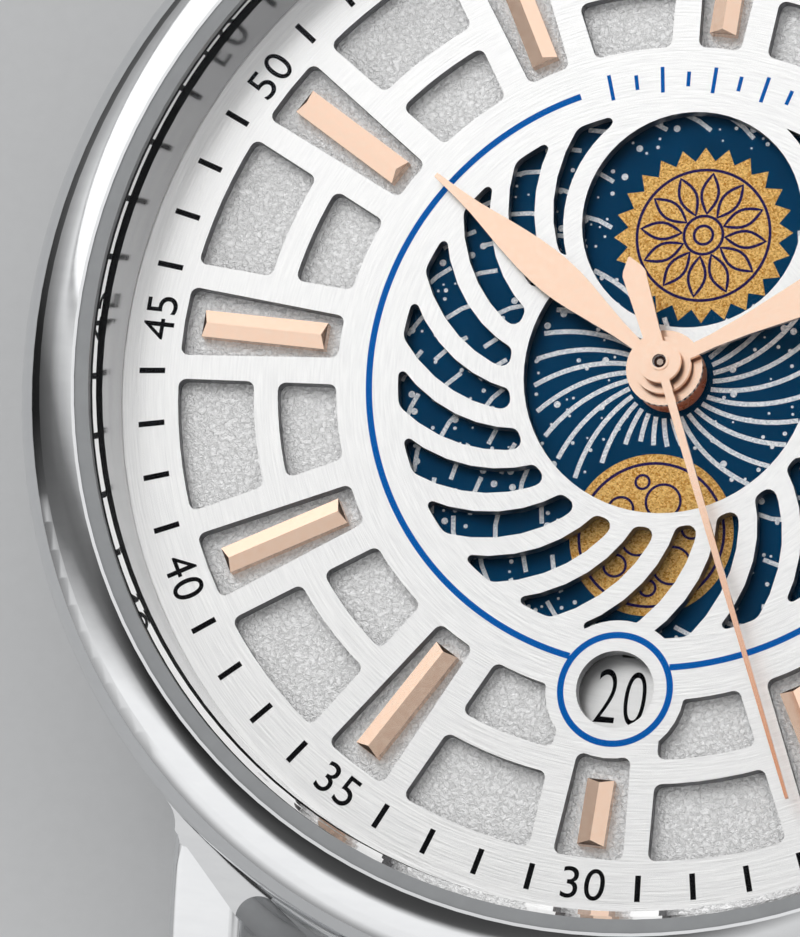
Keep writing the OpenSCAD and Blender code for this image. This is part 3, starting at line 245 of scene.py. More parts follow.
# %% White cloth, front and back
height = toward((0, 0, 1))
front = shade_along(height, [(0.0, 0.4), (0.12, 0.5), (0.3, 0.8), (0.42, 1.0), (0.85, 1.0),
                             (0.93, 0.87)])
back = shade_along(height, [(0.0, 0.08), (0.3, 0.13), (0.5, 0.45), (0.68, 1.0), (0.85, 1.0),
                            (0.93, 0.87)])
is_back = add(sky, "ShaderNodeMapRange", {"From Min": -0.08, "From Max": 0.08},
              {"Value": toward((0, 1, 0))})
cloth = add(sky, "ShaderNodeMix", {"data_type": "RGBA"}, {0: is_back.outputs[0], 6: front, 7: back})
print("cloth shaders:", len(sky.nodes))

# %% [markdown]
# ## What is dark in the tent
#
# Each dark thing is a factor that the cloth is multiplied by. The gap goes by the angle round the
# watch. The card, the opening and the field behind the softbox go by how nearly a direction points at
# them. Cloth near the lamp is lit more, so the whole tent also brightens gently toward the softbox.

# %% Gap, card, opening and daylight
angle = add(sky, "ShaderNodeMath", {"operation": "ARCTAN2"},
            {0: toward((0, 1, 0)), 1: toward((-1, 0, 0))})
off_gap = add(sky, "ShaderNodeMath", {"operation": "SUBTRACT", 1: GAP_ANGLE}, {0: angle.outputs[0]})
distance = add(sky, "ShaderNodeMath", {"operation": "ABSOLUTE"}, {0: off_gap.outputs[0]})
gap = shade_along(distance.outputs[0], [(0.0, 0.13), (0.1, 0.17), (0.33, 1.0)])
card = shade_along(toward(CARD), [(0.0, 1.0), (0.961, 1.0), (0.985, 0.1), (1.0, 0.06)])
opening = shade_along(toward(OPENING),
                      [(0.0, 1.0), (0.74, 1.0), (0.85, 0.85), (0.93, 0.75), (0.975, 0.45), (1.0, 0.3)])
behind = shade_along(toward(WINDOW), [(0.0, 1.0), (0.942, 1.0), (0.955, 0.0)])
daylight = add(sky, "ShaderNodeMapRange", {"From Min": -1, "To Min": 0.8, "To Max": 1.2},
               {"Value": toward(WINDOW)})
seen = cloth.outputs[2]
for shade in (gap, card, opening, behind):
    seen = add(sky, "ShaderNodeVectorMath", {"operation": "MULTIPLY"}, {0: seen, 1: shade}).outputs[0]
sky.links.new(seen, sky.nodes["Background"].inputs["Color"])
sky.links.new(daylight.outputs[0], sky.nodes["Background"].inputs["Strength"])
print("tent shaders:", len(sky.nodes))

# %% [markdown]
# ## Softbox
#
# The softbox is a round lamp 0.4 m across, 0.6 m away. It faces the watch, and its light is what draws
# the soft shadow of the hands on the dial. A smaller lamp would draw the shadow sharp.

# %% Softbox
softbox_light = bpy.data.lights.new("window_softbox", "AREA")
softbox_light.shape = "DISK"
softbox_light.size = 0.4
softbox_light.energy = 0.56
softbox = bpy.data.objects.new("window_softbox", softbox_light)
scene.collection.objects.link(softbox)
softbox.matrix_world = (Matrix.Translation(WINDOW * WINDOW_DISTANCE)
                        @ WINDOW.to_track_quat("Z", "Y").to_matrix().to_4x4())
print("softbox:", softbox_light.size, "m across,", WINDOW_DISTANCE, "m away")

# %% [markdown]
# ## Floor
#
# The floor is a sheet of pale matt paper with a tooth of about half a millimetre. It lies a hair under
# the case back, so that the two flat faces never share one plane. It belongs to the studio and not to
# the watch.

# %% Floor
floor_mesh = bpy.data.meshes.new("pale_floor")
floor_mesh.from_pydata([(-3, -3, 0), (3, -3, 0), (3, 3, 0), (-3, 3, 0)], [], [(0, 1, 2, 3)])
floor = bpy.data.objects.new("pale_floor", floor_mesh)
floor.location.z = -0.02 * MM
scene.collection.objects.link(floor)
paper = grained_finish("matt_paper", "#D4D5D6", 0, 0.8, per_mm=2, detail=4,
                       colours=("#D2D3D4", "#D8D9DA"), gloss=(0.78, 0.85), depth_mm=0.01)
floor_mesh.materials.append(paper)
print("floor of", paper.name)

# %% [markdown]
# ## Case: polished stainless steel
#
# The middle case, the bezel and the crown are stainless steel, turned and then polished on a felt
# wheel. A mirror surface is never perfect: faint wipe marks change its gloss by a few hundredths. The
# pattern is drawn at about half a millimetre, coarser than real hairlines, so that it can show. The
# back and the battery are brushed in circles, the levers are hardened tool steel, and the screws are
# blued by heat.

# %% Polished and brushed steel
polished_steel, tree, surface = start_finish("polished_stainless_steel", "#E0E1E2", 1, 0.07)
wipe = add(tree, "ShaderNodeMapping", {"Scale": (0.6, 2.4, 1.2), "Rotation": (0.3, 0.2, 0.9)},
           {"Vector": place_mm(tree)})
marks = add(tree, "ShaderNodeTexNoise", {"Scale": 1, "Detail": 5, "Roughness": 0.6},
            {"Vector": wipe.outputs[0]})
let_pattern_show(tree, surface, marks.outputs[0], ("#DADBDD", "#E6E7E8"), (0.05, 0.09), 0.0002)

brushed_steel, tree, surface = start_finish("circular_brushed_steel", "#C9CBCD", 1, 0.3)
lines = brushed_in_circles(tree, 9, 4, 12)
let_pattern_show(tree, surface, lines, ("#BEC0C3", "#D6D7D9"), (0.24, 0.36), 0.002)

tool_steel = grained_finish("hardened_tool_steel", "#B4B8BD", 1, 0.25, per_mm=8, detail=4,
                            colours=("#A6ABB1", "#C2C6CA"), gloss=(0.18, 0.32), depth_mm=0.001)

blued_steel = grained_finish("heat_blued_steel", "#2C4A8C", 1, 0.22, per_mm=3, detail=3,
                             colours=("#1F3874", "#3C5FA8"), gloss=(0.16, 0.3), depth_mm=0.0005)
print("steel:", polished_steel.name, brushed_steel.name, tool_steel.name, blued_steel.name)

# %% [markdown]
# ## Crystal
#
# The crystal is grown sapphire, ground and polished, with a thin coat that cuts the reflections to a
# fraction and leaves them faintly blue. Its typical index is 1.77. Lamps have to pass through it to
# reach the dial, so a shadow ray, or a ray that left a dull surface, meets clear film instead of glass.

# %% Sapphire
sapphire, tree, surface = start_finish("coated_sapphire", "#FEFEFE", 0, 0)
surface.inputs["Transmission Weight"].default_value = 1
surface.inputs["IOR"].default_value = 1.77
surface.inputs["Specular Tint"].default_value = colour("#2C2E34")
smear = add(tree, "ShaderNodeTexNoise", {"Scale": 0.15, "Detail": 2}, {"Vector": place_mm(tree)})
film = add(tree, "ShaderNodeMapRange", {"To Min": 0.0, "To Max": 0.01}, {"Value": smear.outputs[0]})
tree.links.new(film.outputs[0], surface.inputs["Roughness"])
ray = add(tree, "ShaderNodeLightPath")
clear = add(tree, "ShaderNodeBsdfTransparent", {"Color": colour("#FCFCFC")})
passes = add(tree, "ShaderNodeMath", {"operation": "MAXIMUM"},
             {0: ray.outputs["Is Shadow Ray"], 1: ray.outputs["Is Diffuse Ray"]})
both = add(tree, "ShaderNodeMixShader", {},
           {0: passes.outputs[0], 1: surface.outputs[0], 2: clear.outputs[0]})
tree.links.new(both.outputs[0], tree.nodes["Material Output"].inputs["Surface"])
print("crystal index:", round(surface.inputs["IOR"].default_value, 2))

# %% [markdown]
# ## Seals
#
# The gasket that grips the crystal is moulded nylon, and the other seals are moulded nitrile rubber.
# Both take the fine texture of the mould, so they are an even grain with little gloss.

# %% Nylon and rubber
nylon = grained_finish("moulded_nylon", "#9A9C9E", 0, 0.35, per_mm=1.5, detail=3,
                       colours=("#939597", "#A3A5A7"), gloss=(0.3, 0.42), depth_mm=0.001)

rubber = grained_finish("moulded_nitrile_rubber", "#1E1F21", 0, 0.6, per_mm=12, detail=3,
                        colours=("#191A1C", "#26282A"), gloss=(0.52, 0.7), depth_mm=0.003)
print("seals:", nylon.name, rubber.name)

# %% [markdown]
# ## Dial: silvered brass, brushed above and frosted below
#
# The pierced upper dial is brass that was brushed in circles and then silvered under a clear lacquer.
# The brush leaves lines about 0.06 mm apart. The lower dial is blasted before it is silvered, so it
# looks like fresh snow: grains about 0.13 mm wide with no direction. Most values of a noise lie near
# its middle, so that middle is spread over the whole range. A photograph of brushed metal could be
# laid on as well, but a pattern stays sharp however close one looks. The upright walls of the windows
# are painted dark grey as painted shade, darkest in the lower dial, so the cells look deep and
# shadowed.

# %% Silvered and frosted dial
# Painted shade: faces turned away from straight up, the upright walls, get a darker colour laid over
# them.
def leave_walls_dark(finish, wall_shade_colour):
    tree = finish.node_tree
    facing = add(tree, "ShaderNodeSeparateXYZ", {},
                 {0: add(tree, "ShaderNodeTexCoord").outputs["Normal"]})
    level = add(tree, "ShaderNodeMapRange", {"From Min": 0.2, "From Max": 0.9},
                {"Value": facing.outputs["Z"]})
    lay_over(finish, wall_shade_colour, level.outputs[0])


silvered, tree, surface = start_finish("brushed_silvered_brass", "#F1F1F0", 1, 0.4)
lines = add(tree, "ShaderNodeMapRange", {"From Min": 0.3, "From Max": 0.7},
            {"Value": brushed_in_circles(tree, 16, 1.3, 13)})
let_pattern_show(tree, surface, lines.outputs[0], ("#EDEDED", "#FBFBFA"), (0.3, 0.4), 0.002)
# Painted shade: the walls of the upper dial's windows get a mid grey.
leave_walls_dark(silvered, "#68686A")

frosted, tree, surface = start_finish("frosted_silvered_brass", "#E0E0E0", 1, 0.48)
grain = add(tree, "ShaderNodeTexNoise",
            {"Scale": 7.5, "Detail": 3, "Roughness": 0.6, "Distortion": 0.8},
            {"Vector": place_mm(tree)})
snow = add(tree, "ShaderNodeMapRange", {"From Min": 0.38, "From Max": 0.62},
           {"Value": grain.outputs[0]})
let_pattern_show(tree, surface, snow.outputs[0], ("#D6D6D6", "#FFFFFF"), (0.4, 0.55), 0.013)
# Painted shade: the walls of the lower dial's cells get a near-black.
leave_walls_dark(frosted, "#2A2A2B")
print("dial finishes:", silvered.name, frosted.name)

# %% [markdown]
# ## Sloping ring round the dial
#
# The ring between the dial and the crystal is steel, turned with a fine tool that leaves rings of its
# own about 0.1 mm apart. It is smooth enough to mirror the ends of the minute strokes.

# %% Turned ring
rehaut_steel, tree, surface = start_finish("fine_turned_steel", "#B6B6B7", 1, 0.16)
turned = brushed_in_circles(tree, 10, 8, 17)
let_pattern_show(tree, surface, turned, ("#ABABAC", "#C1C1C2"), (0.11, 0.2), 0.001)
print("ring finish:", rehaut_steel.name)

# %% [markdown]
# ## Hands and hour markers: rose gold plate
#
# The hands are stamped from brass and the markers are cut with a diamond, and both are plated with
# rose gold. The plate is smooth and thin, so it is nearly a mirror in one warm colour. The seconds
# hand is drawn out to a thin wire. Its plate carries painted shade: a deeper colour is laid over it,
# more of it with each millimetre from the axis, for the darker room that a bent-down tip would reflect.

# %% Rose gold
def gold_plate(name):
    return grained_finish(name, "#FFDCC4", 1, 0.22, per_mm=5, detail=4,
                          colours=("#FDD6BC", "#FFE2CC"), gloss=(0.18, 0.28), depth_mm=0.0004)


rose_gold = gold_plate("rose_gold_plate")
rose_gold_wire_shaded_tip = gold_plate("rose_gold_plated_wire_painted_shade")
tree = rose_gold_wire_shaded_tip.node_tree
# Painted shade: the deeper colour toward the tip stands in for a darker reflection.
plate_kept_near_axis = add(tree, "ShaderNodeMapRange",
                {"From Min": 3.5, "From Max": 13, "To Min": 1, "To Max": 0},
                {"Value": off_axis(tree)[1]})
lay_over(rose_gold_wire_shaded_tip, "#DCA282", plate_kept_near_axis.outputs[0])
print("plated:", rose_gold.name, rose_gold_wire_shaded_tip.name)

# %% [markdown]
# ## Disc, date ring and plastic parts
#
# The day and night disc is thin brass under blue lacquer, darker in some places where the lacquer is
# thicker. The date ring is brass that was brushed in circles, about nine lines to the millimetre, and
# covered with a thin silvery white lacquer. The ring that holds the movement is moulded grey plastic
# and the wheel that drives the date is moulded white acetal.

# %% Lacquers and plastics
blue_lacquer = grained_finish("blue_lacquer", "#023354", 0.85, 0.35, per_mm=0.5, detail=3,
                              colours=("#012A46", "#033F65"), gloss=(0.3, 0.42), depth_mm=0.001,
                              specular=0.05)

white_lacquer, tree, surface = start_finish("silver_white_lacquer", "#F0F0EF", 0.85, 0.3)
lines = brushed_in_circles(tree, 9, 1.5, 10)
let_pattern_show(tree, surface, lines, ("#E4E4E3", "#FAFAF9"), (0.24, 0.36), 0.002)

grey_plastic = grained_finish("moulded_grey_acetal", "#8B8E91", 0, 0.5, per_mm=2, detail=4,
                              colours=("#828588", "#94979A"), gloss=(0.44, 0.58), depth_mm=0.004)

white_plastic = grained_finish("moulded_white_acetal", "#E4E4E0", 0, 0.45, per_mm=2, detail=4,
                               colours=("#DCDCD8", "#ECECE8"), gloss=(0.4, 0.52), depth_mm=0.003)
print("lacquered and moulded:", blue_lacquer.name, white_lacquer.name, grey_plastic.name,
      white_plastic.name)

# %% [markdown]
# ## Movement metals
#
# Inside the case nothing is finished for show. The main plate is nickel-plated brass with a fine
# blasted grain of 0.1 mm, and the wheels are rolled brass. Three wheels carry a pipe or an arbor that
# comes up through the dial and shows under the hands, so its end has a colour of its own. The end of
# the seconds arbor has a light centre, a near-black ring of painted shade for a shadowed groove, and a
# steel rim, and the other two pipes are plated in the colour of the hands. Each is one piece with its
# wheel, so the distance from the axis tells the two metals apart.

# %% Plates and wheels
nickel = grained_finish("nickel_plated_brass", "#C8C2B4", 1, 0.35, per_mm=10, detail=3,
                        colours=("#BDB7A9", "#D2CCBF"), gloss=(0.3, 0.42), depth_mm=0.004)


def rolled_brass(name):
    return grained_finish(name, "#D9B25F", 1, 0.28, per_mm=6, detail=4,
                          colours=("#CDA552", "#E4C072"), gloss=(0.22, 0.34), depth_mm=0.001)


def wheel_on_pipe(name, pipe):
    """Rolled brass, and a pipe whose colours are given with the radius where each one ends."""
    finish = rolled_brass(name)
    tree = finish.node_tree
    reach = off_axis(tree)[1]
    for edge_mm, pipe_colour in sorted(pipe.items(), reverse=True):
        outside = add(tree, "ShaderNodeMath", {"operation": "GREATER_THAN", 1: edge_mm}, {0: reach})
        lay_over(finish, pipe_colour, outside.outputs[0])
    return finish


brass = rolled_brass("rolled_brass")
# The near-black ring from 0.1 to 0.19 mm is painted shade for a shadowed groove.
brass_on_steel = wheel_on_pipe("brass_wheel_on_steel_arbor",
                               {0.1: "#B9A79A", 0.19: "#33241F", 0.35: "#8E9298"})
brass_on_plated_pipe = wheel_on_pipe("brass_wheel_on_plated_pipe", {1.7: "#E8B497"})
print("plates and wheels:", nickel.name, brass.name, brass_on_steel.name,
      brass_on_plated_pipe.name)

# %% [markdown]
# ## Motor and electronics
#
# The coil is enamelled copper wire wound at 0.1 mm, which shows as fine bands. The wave pattern
# repeats every 0.31 units, so a scale of 3.2 draws one band for each turn of the wire. The stator and
# the coil's core are annealed, which leaves them grey and dull, and the rotor is a sintered magnet.
# The board is green glass-epoxy laminate with a chip under black resin.

# %% Copper, iron, laminate, resin and magnet
copper, tree, surface = start_finish("enamelled_copper_wire", "#B8622F", 1, 0.3)
wires = add(tree, "ShaderNodeTexWave", {"bands_direction": "X", "Scale": 3.2, "Distortion": 0.4},
            {"Vector": place_mm(tree)})
let_pattern_show(tree, surface, wires.outputs["Fac"], ("#8A4420", "#CC7A44"), (0.25, 0.4), 0.03)

iron = grained_finish("annealed_soft_iron", "#8C8E90", 1, 0.45, per_mm=7, detail=4,
                      colours=("#7E8082", "#9A9C9E"), gloss=(0.38, 0.55), depth_mm=0.002)

laminate = grained_finish("glass_epoxy_laminate", "#1E6B45", 0, 0.4, per_mm=4, detail=4,
                          colours=("#195C3B", "#257A50"), gloss=(0.35, 0.5), depth_mm=0.004)

black_resin = grained_finish("potting_resin", "#141516", 0, 0.35, per_mm=3, detail=3,
                             colours=("#101112", "#1D1E20"), gloss=(0.28, 0.45), depth_mm=0.004)

magnet = grained_finish("sintered_magnet", "#4A4C50", 1, 0.4, per_mm=14, detail=3,
                        colours=("#404246", "#56585C"), gloss=(0.32, 0.5), depth_mm=0.003)
print("motor and board:", copper.name, iron.name, laminate.name, black_resin.name, magnet.name)

# %% [markdown]
# ## Give each CAD piece its finish
#
# The shapes stay as the CAD gives them, so each piece only needs its finish in its material slots. A
# list for each finish keeps the pieces of one material together, as they would be in a workshop.

# %% Dress the CAD pieces
dressed = {
    polished_steel: ["mid_case", "bezel", "crown", "crown_tube"],
    brushed_steel: ["case_back", "battery", "battery_clamp", "quartz_can"],
    rehaut_steel: ["rehaut_ring"],
    sapphire: ["crystal"],
    nylon: ["crystal_gasket"],
    rubber: ["case_back_gasket", "crown_gasket"],
    silvered: ["dial_plate"],
    frosted: ["dial_base"],
    rose_gold: ["hour_markers", "hour_hand", "minute_hand"],
    rose_gold_wire_shaded_tip: ["second_hand"],
    blue_lacquer: ["day_night_disc"],
    white_lacquer: ["date_ring"],
    grey_plastic: ["movement_ring"],
    white_plastic: ["date_driving_wheel"],
    nickel: ["main_plate"],
    brass: ["train_bridge", "intermediate_wheel", "third_wheel", "centre_wheel", "minute_wheel",
            "setting_wheel"],
    brass_on_steel: ["second_wheel"],
    brass_on_plated_pipe: ["hour_wheel", "day_night_wheel"],
    tool_steel: ["winding_stem", "sliding_pinion", "cannon_pinion", "setting_lever", "yoke",
                 "date_jumper"],
    blued_steel: ["bridge_screws", "clamp_screws", "stator_screws", "jumper_screw"],
    iron: ["stator", "coil_core"],
    copper: ["coil"],
    laminate: ["circuit_board"],
    black_resin: ["chip"],
    magnet: ["rotor"],
}
for finish, names in dressed.items():
    for name in names:
        for material_slot in nodes[name].material_slots:
            material_slot.material = finish
left = set(nodes) - {name for names in dressed.values() for name in names}
print("pieces dressed:", len(nodes) - len(left), "left:", sorted(left))

# %% [markdown]
# ## How a print is made
#
# A dial is printed by a soft pad that lifts ink from an engraved plate and leaves a film about 0.01 mm
# thick. It could be a picture laid on the dial, but a real thin layer keeps a sharp edge and rides on
# its own body. So each print is drawn flat, in millimetres, and then raised by the thickness of the
# ink. A filled shape is one face, and a line is a ribbon along its points. Places on the dial are
# given as on a clock, in degrees from 12.

# %% Patches and lines
INK = 0.01


def patch(print_mesh, points):
    return print_mesh.faces.new([print_mesh.verts.new((x, y, 0)) for x, y in points])


def line(print_mesh, points, width, closed=False):
    count = len(points)
    left, right_side = [], []
    for i, (x, y) in enumerate(points):
        before = points[i - 1] if i or closed else points[0]
        after = points[(i + 1) % count] if i < count - 1 or closed else points[-1]
        way = Vector((after[0] - before[0], after[1] - before[1])).normalized()
        side = Vector((-way.y, way.x)) * width / 2
        left.append(print_mesh.verts.new((x + side.x, y + side.y, 0)))
        right_side.append(print_mesh.verts.new((x - side.x, y - side.y, 0)))
    for i in range(count if closed else count - 1):
        j = (i + 1) % count
        print_mesh.faces.new([left[i], right_side[i], right_side[j], left[j]])


def on_circle(radius, clock_degrees, centre=(0, 0)):
    angle = math.radians(clock_degrees)
    return (centre[0] + radius * math.sin(angle), centre[1] + radius * math.cos(angle))


def arc(radius, first, last, step, centre=(0, 0)):
    count = max(2, round(abs(last - first) / step))
    return [on_circle(radius, first + (last - first) * i / count, centre) for i in range(count + 1)]


print("ink film:", INK, "mm")

# %% [markdown]
# ## Numerals
#
# A numeral comes from the plain built-in font, so the script needs no file for it. It is turned into
# faces and measured. Then it is scaled to its real height and laid with its middle on its place.

# %% Numerals
def numeral(print_mesh, text, place, turn_degrees, height, squeeze, spacing, weight=0.0):
    letters = bpy.data.curves.new("numeral", "FONT")
    letters.body = text
    letters.offset = weight
    letters.space_character = spacing
    holder = bpy.data.objects.new("numeral", letters)
    scene.collection.objects.link(holder)
    bpy.context.view_layer.update()
    flat = bpy.data.meshes.new_from_object(holder.evaluated_get(bpy.context.evaluated_depsgraph_get()))
    xs = [v.co.x for v in flat.vertices]
    ys = [v.co.y for v in flat.vertices]
    size = height / (max(ys) - min(ys))
    middle = Vector(((max(xs) + min(xs)) / 2, (max(ys) + min(ys)) / 2, 0))
    flat.transform(Matrix.Translation((place[0], place[1], 0))
                   @ Matrix.Rotation(math.radians(turn_degrees), 4, "Z")
                   @ Matrix.Diagonal((size * squeeze, size, 1, 1)) @ Matrix.Translation(-middle))
    print_mesh.from_mesh(flat)
    bpy.data.objects.remove(holder)
    bpy.data.curves.remove(letters)
    bpy.data.meshes.remove(flat)


print("a numeral is measured in font units and drawn in millimetres")

# %% [markdown]
# ## From a flat drawing to a film of ink
#
# Corners that lie in the same place are welded first, so that the faces of a shape hold together. The
# faces are then pushed up by the thickness of the ink and the whole is lifted on to its surface. The
# piece rides on the body that carries it, so it turns with that body.

# %% Raise a print to a film of ink
WELD = 0.0005


def raise_print(name, print_mesh, height, ink, body, thickness=INK):
    bmesh.ops.remove_doubles(print_mesh, verts=print_mesh.verts[:], dist=WELD)
    raised = bmesh.ops.extrude_face_region(print_mesh, geom=print_mesh.faces[:])
    tops = [v for v in raised["geom"] if isinstance(v, bmesh.types.BMVert)]
    bmesh.ops.translate(print_mesh, verts=tops, vec=(0, 0, thickness))
    bmesh.ops.translate(print_mesh, verts=print_mesh.verts[:], vec=(0, 0, height))
    bmesh.ops.scale(print_mesh, verts=print_mesh.verts[:], vec=(MM, MM, MM))
    bmesh.ops.recalc_face_normals(print_mesh, faces=print_mesh.faces[:])
    mesh = bpy.data.meshes.new(name)
    print_mesh.to_mesh(mesh)
    print_mesh.free()
    mesh.materials.append(ink)
    piece = bpy.data.objects.new(name, mesh)
    scene.collection.objects.link(piece)
    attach(piece, body)
    print(name, "faces:", len(mesh.polygons))


print("a print is welded within", WELD, "mm")

# %% [markdown]
# ## Inks
#
# The minute track is black pad ink and the two rings are blue. Pad ink dries dull, so its reflection is
# a tenth of the usual one. The star chart is silver ink and the sun and moon are gold ink, both full of
# tiny flakes that catch the light one by one. Flakes about 0.05 mm wide are drawn with a cell pattern
# that changes colour, gloss and slope from cell to cell.

# %% Ink finishes
def pad_ink(name, base, dark, bright, per_mm=10):
    return grained_finish(name, base, 0, 0.4, per_mm=per_mm, detail=2, colours=(dark, bright),
                          gloss=(0.34, 0.5), depth_mm=0.001, specular=0.05)


def flake_ink(name, dark, bright, flakes_per_mm):
    ink, tree, surface = start_finish(name, bright, 0.85, 0.4)
    flakes = add(tree, "ShaderNodeTexVoronoi", {"Scale": flakes_per_mm}, {"Vector": place_mm(tree)})
    shade = add(tree, "ShaderNodeSeparateXYZ", {}, {0: flakes.outputs["Color"]})
    let_pattern_show(tree, surface, shade.outputs["X"], (dark, bright), (0.3, 0.6), 0.004)
    return ink


black_ink = pad_ink("black_pad_ink", "#0D0D0E", "#09090A", "#151517", per_mm=14)
blue_ink = pad_ink("blue_pad_ink", "#0365BF", "#025BB2", "#0570CC")
navy_ink = pad_ink("navy_pad_ink", "#2A1F5A", "#221A4C", "#33286A")
gold_flake = flake_ink("gold_flake_ink", "#B47725", "#FFD888", 20)
silver_flake = flake_ink("silver_flake_ink", "#C0C8D0", "#FFFFFF", 20)
print("inks:", black_ink.name, blue_ink.name, navy_ink.name, gold_flake.name, silver_flake.name)

# %% [markdown]
# ## Minute track
#
# Sixty minutes lie on a circle near the edge. Eleven fives and the sixty are numerals whose tops point
# outward on the upper half and inward on the lower half, as plain watch dials have them, and the other
# minutes are short radial strokes. A loop draws all sixty, so that none can be out of step.

# %% Minute strokes and numerals
dial_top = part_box("dial_plate")[1].z / MM
stroke_from, stroke_to, stroke_width, numerals_at = 16.09, 16.92, 0.175, 16.45
track = bmesh.new()
for minute in range(1, 61):
    angle = minute * 6
    if minute % 5:
        line(track, [on_circle(stroke_from, angle), on_circle(stroke_to, angle)], stroke_width)
    else:
        upside = 180 if 15 < minute < 45 else 0
        numeral(track, str(minute), on_circle(numerals_at, angle), upside - angle,
                height=1.0, squeeze=1.02, spacing=1.06)
raise_print("minute_track", track, dial_top, black_ink, "case")

# %% [markdown]
# ## Blue rings
#
# A thin blue ring frames the spiral slots. It stops at the top, where a plain row of short strokes
# takes its place, and at the round date window, which has a small blue ring of its own. The law of
# cosines gives the angle at which the two rings meet.

# %% Blue rings
ring_r, date_y, date_ring_r = 9.5, -10.25, 1.73
ring_width, tick_width, long_tick, short_tick, top_opening = 0.2, 0.12, 0.42, 0.24, 26
meet = math.degrees(math.acos((ring_r ** 2 + date_y ** 2 - (date_ring_r + ring_width / 2) ** 2)
                              / (2 * ring_r * abs(date_y))))
rings = bmesh.new()
for first, last in ((top_opening, 180 - meet), (180 + meet, 360 - top_opening)):
    line(rings, arc(ring_r, first, last, 1.5), ring_width)
line(rings, arc(date_ring_r, 0, 360, 5, (0, date_y))[:-1], ring_width, closed=True)
for angle in range(-20, 21, 5):
    reach = short_tick if angle % 10 else long_tick
    line(rings, [on_circle(ring_r - reach, angle), on_circle(ring_r + reach, angle)], tick_width)
raise_print("blue_rings", rings, dial_top, blue_ink, "case")

# %% [markdown]
# ## Date numbers
#
# The date ring carries 31 numbers, one for each tooth, printed tall and narrow so that they fill the
# small window. They ride on the ring, so the next number comes into the window when it turns. The ring
# turns clockwise, so the numbers run the other way round it.

# %% Date numbers
date_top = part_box("date_ring")[1].z / MM
DAYS, DAY_SHOWN, DATES_AT = 31, 20, 10.27
dates = bmesh.new()
for day in range(1, DAYS + 1):
    angle = 180 - (day - DAY_SHOWN) * 360 / DAYS
    numeral(dates, str(day), on_circle(DATES_AT, angle), 180 - angle,
            height=1.72, squeeze=0.64, spacing=1.1, weight=-0.012)
raise_print("date_numbers", dates, date_top, black_ink, "date")

# %% [markdown]
# ## Star chart on the disc
#
# The disc that turns once a day carries a night sky. This one is a plain chart: bent silver rays that
# leave the centre, and three rings of short bent strokes further out. Each ray is a ribbon through
# points that turn back a few degrees for each millimetre outward. The sun and the moon keep their own
# round fields free.

# %% Star chart
disc_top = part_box("day_night_disc")[1].z / MM
sun_at, moon_at, body_r = (0.3, 4.65), (0.2, -5.1), 2.7
RAYS, RAY_START, RAY_STEP, BEND_DEG_PER_MM = 32, 1.35, 0.3, 7
RAY_WIDTH, DASH_WIDTH, DASHES = 0.15, 0.14, 36


def in_the_open(x, y, room):
    return all(math.dist((x, y), at) > body_r + room for at in (sun_at, moon_at))


chart = bmesh.new()
for i in range(RAYS):
    bent = [on_circle(r, i * 360 / RAYS - BEND_DEG_PER_MM * (r - RAY_START)) for r in
            [RAY_START + RAY_STEP * k for k in range(11)]]
    bent = [p for p in bent if in_the_open(*p, 0.15)]
    if len(bent) > 2:
        line(chart, bent, RAY_WIDTH)
for band, (r0, r1) in enumerate(((5.3, 6.1), (6.7, 7.6), (8.05, 8.6))):
    for i in range(DASHES):
        stroke_at = i * 360 / DASHES + band * 5
        ends = [on_circle(r0, stroke_at), on_circle((r0 + r1) / 2, stroke_at - 3),
                on_circle(r1, stroke_at - 7)]
        if all(in_the_open(*p, 0.25) for p in ends):
            line(chart, ends, DASH_WIDTH)
raise_print("star_rays", chart, disc_top, silver_flake, "day_night")

# %% [markdown]
# ## Stars placed by chance
#
# Real stars follow no rule, so these are thrown by chance. The seed is fixed, which gives the same sky
# in every run. The square root spreads them evenly over the disc, and a star that falls too near
# another one, or on the sun or moon, is thrown again. They lie on top of the rays' ink.

# %% Round stars
STARS, STAR_SIZES = 420, (0.035, 0.045, 0.06, 0.07, 0.11)
NEAREST, FARTHEST, APART = 1.6, 8.55, 0.1
dice = random.Random(24)
stars = bmesh.new()
placed = []
while len(placed) < STARS:
    radius = dice.choice(STAR_SIZES)
    x, y = on_circle(math.sqrt(dice.uniform(NEAREST ** 2, FARTHEST ** 2)), dice.uniform(0, 360))
    if in_the_open(x, y, 0.3) and all(math.dist((x, y), p[:2]) > radius + p[2] + APART
                                      for p in placed):
        placed.append((x, y, radius))
        patch(stars, arc(radius, 360, 0, 36, (x, y))[:-1])
raise_print("round_stars", stars, disc_top + INK, silver_flake, "day_night")

# %% [markdown]
# ## Sun and moon
#
# Both are flat gold shapes, printed a little thicker than the other inks so that the flakes cover well.
# The sun is a star with 24 short points, and the moon is a plain disc.

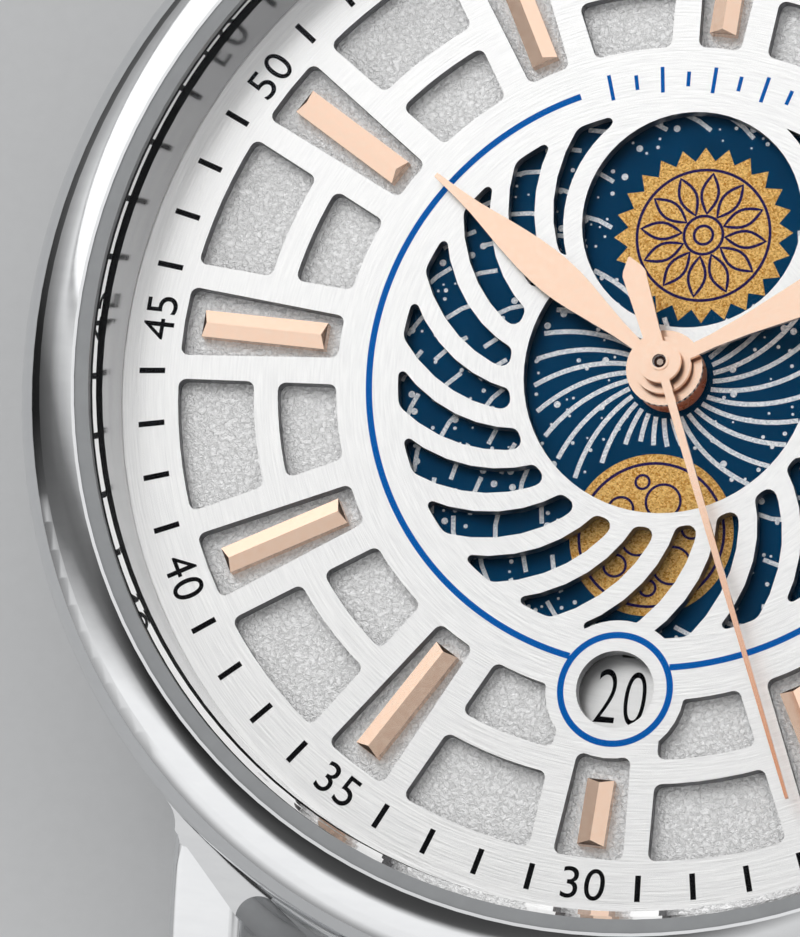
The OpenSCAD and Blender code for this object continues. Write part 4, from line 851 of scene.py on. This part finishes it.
# %% Gold sun and moon
SUN_POINTS, SUN_TIP, SUN_NOTCH = 24, 2.85, 2.42
GOLD_INK = INK * 1.5
gold = bmesh.new()
patch(gold, [on_circle(SUN_TIP if i % 2 else SUN_NOTCH, -i * 180 / SUN_POINTS, sun_at)
             for i in range(2 * SUN_POINTS)])
patch(gold, arc(body_r - 0.1, 360, 0, 5, moon_at)[:-1])
raise_print("gold_sun_and_moon", gold, disc_top, gold_flake, "day_night", GOLD_INK)

# %% [markdown]
# ## Navy pattern on the gold
#
# The sun carries a rosette of twelve petals between rings, and the moon has rings for its craters.
# They are generic ornaments, drawn with a compass. A petal is a closed ribbon, out along one half of a
# sine wave and back along the other.

# %% Navy pattern
THIN, PETALS, STEPS = 0.09, 12, 8


def petal(print_mesh, centre, turn_degrees, near, far, half):
    points = []
    angle = math.radians(turn_degrees)
    for i in range(2 * STEPS):
        share = min(i, 2 * STEPS - i) / STEPS
        across = half * math.sin(math.pi * share) * (1 if i <= STEPS else -1)
        along = near + (far - near) * share
        points.append((centre[0] + along * math.sin(angle) + across * math.cos(angle),
                       centre[1] + along * math.cos(angle) - across * math.sin(angle)))
    line(print_mesh, points, THIN, closed=True)


pattern = bmesh.new()
for radius in (2.12, 0.62, 0.3):
    line(pattern, arc(radius, 0, 360, 6, sun_at)[:-1], THIN, closed=True)
for i in range(PETALS):
    petal(pattern, sun_at, i * 360 / PETALS, near=0.7, far=2.0, half=0.27)
line(pattern, arc(2.3, 0, 360, 6, moon_at)[:-1], THIN, closed=True)
craters = ((0.2, 1.1, 0.55), (-1.1, 0.7, 0.4), (1.25, 0.35, 0.33), (-0.4, -0.2, 0.5),
           (0.8, -0.9, 0.6), (-1.0, -1.1, 0.35), (-0.55, 1.65, 0.22), (0.15, -1.7, 0.25))
for x, y, radius in craters:
    centre = (moon_at[0] + x, moon_at[1] + y)
    line(pattern, arc(radius, 0, 360, 12, centre)[:-1], 0.08, closed=True)
raise_print("navy_pattern", pattern, disc_top + GOLD_INK, navy_ink, "day_night")
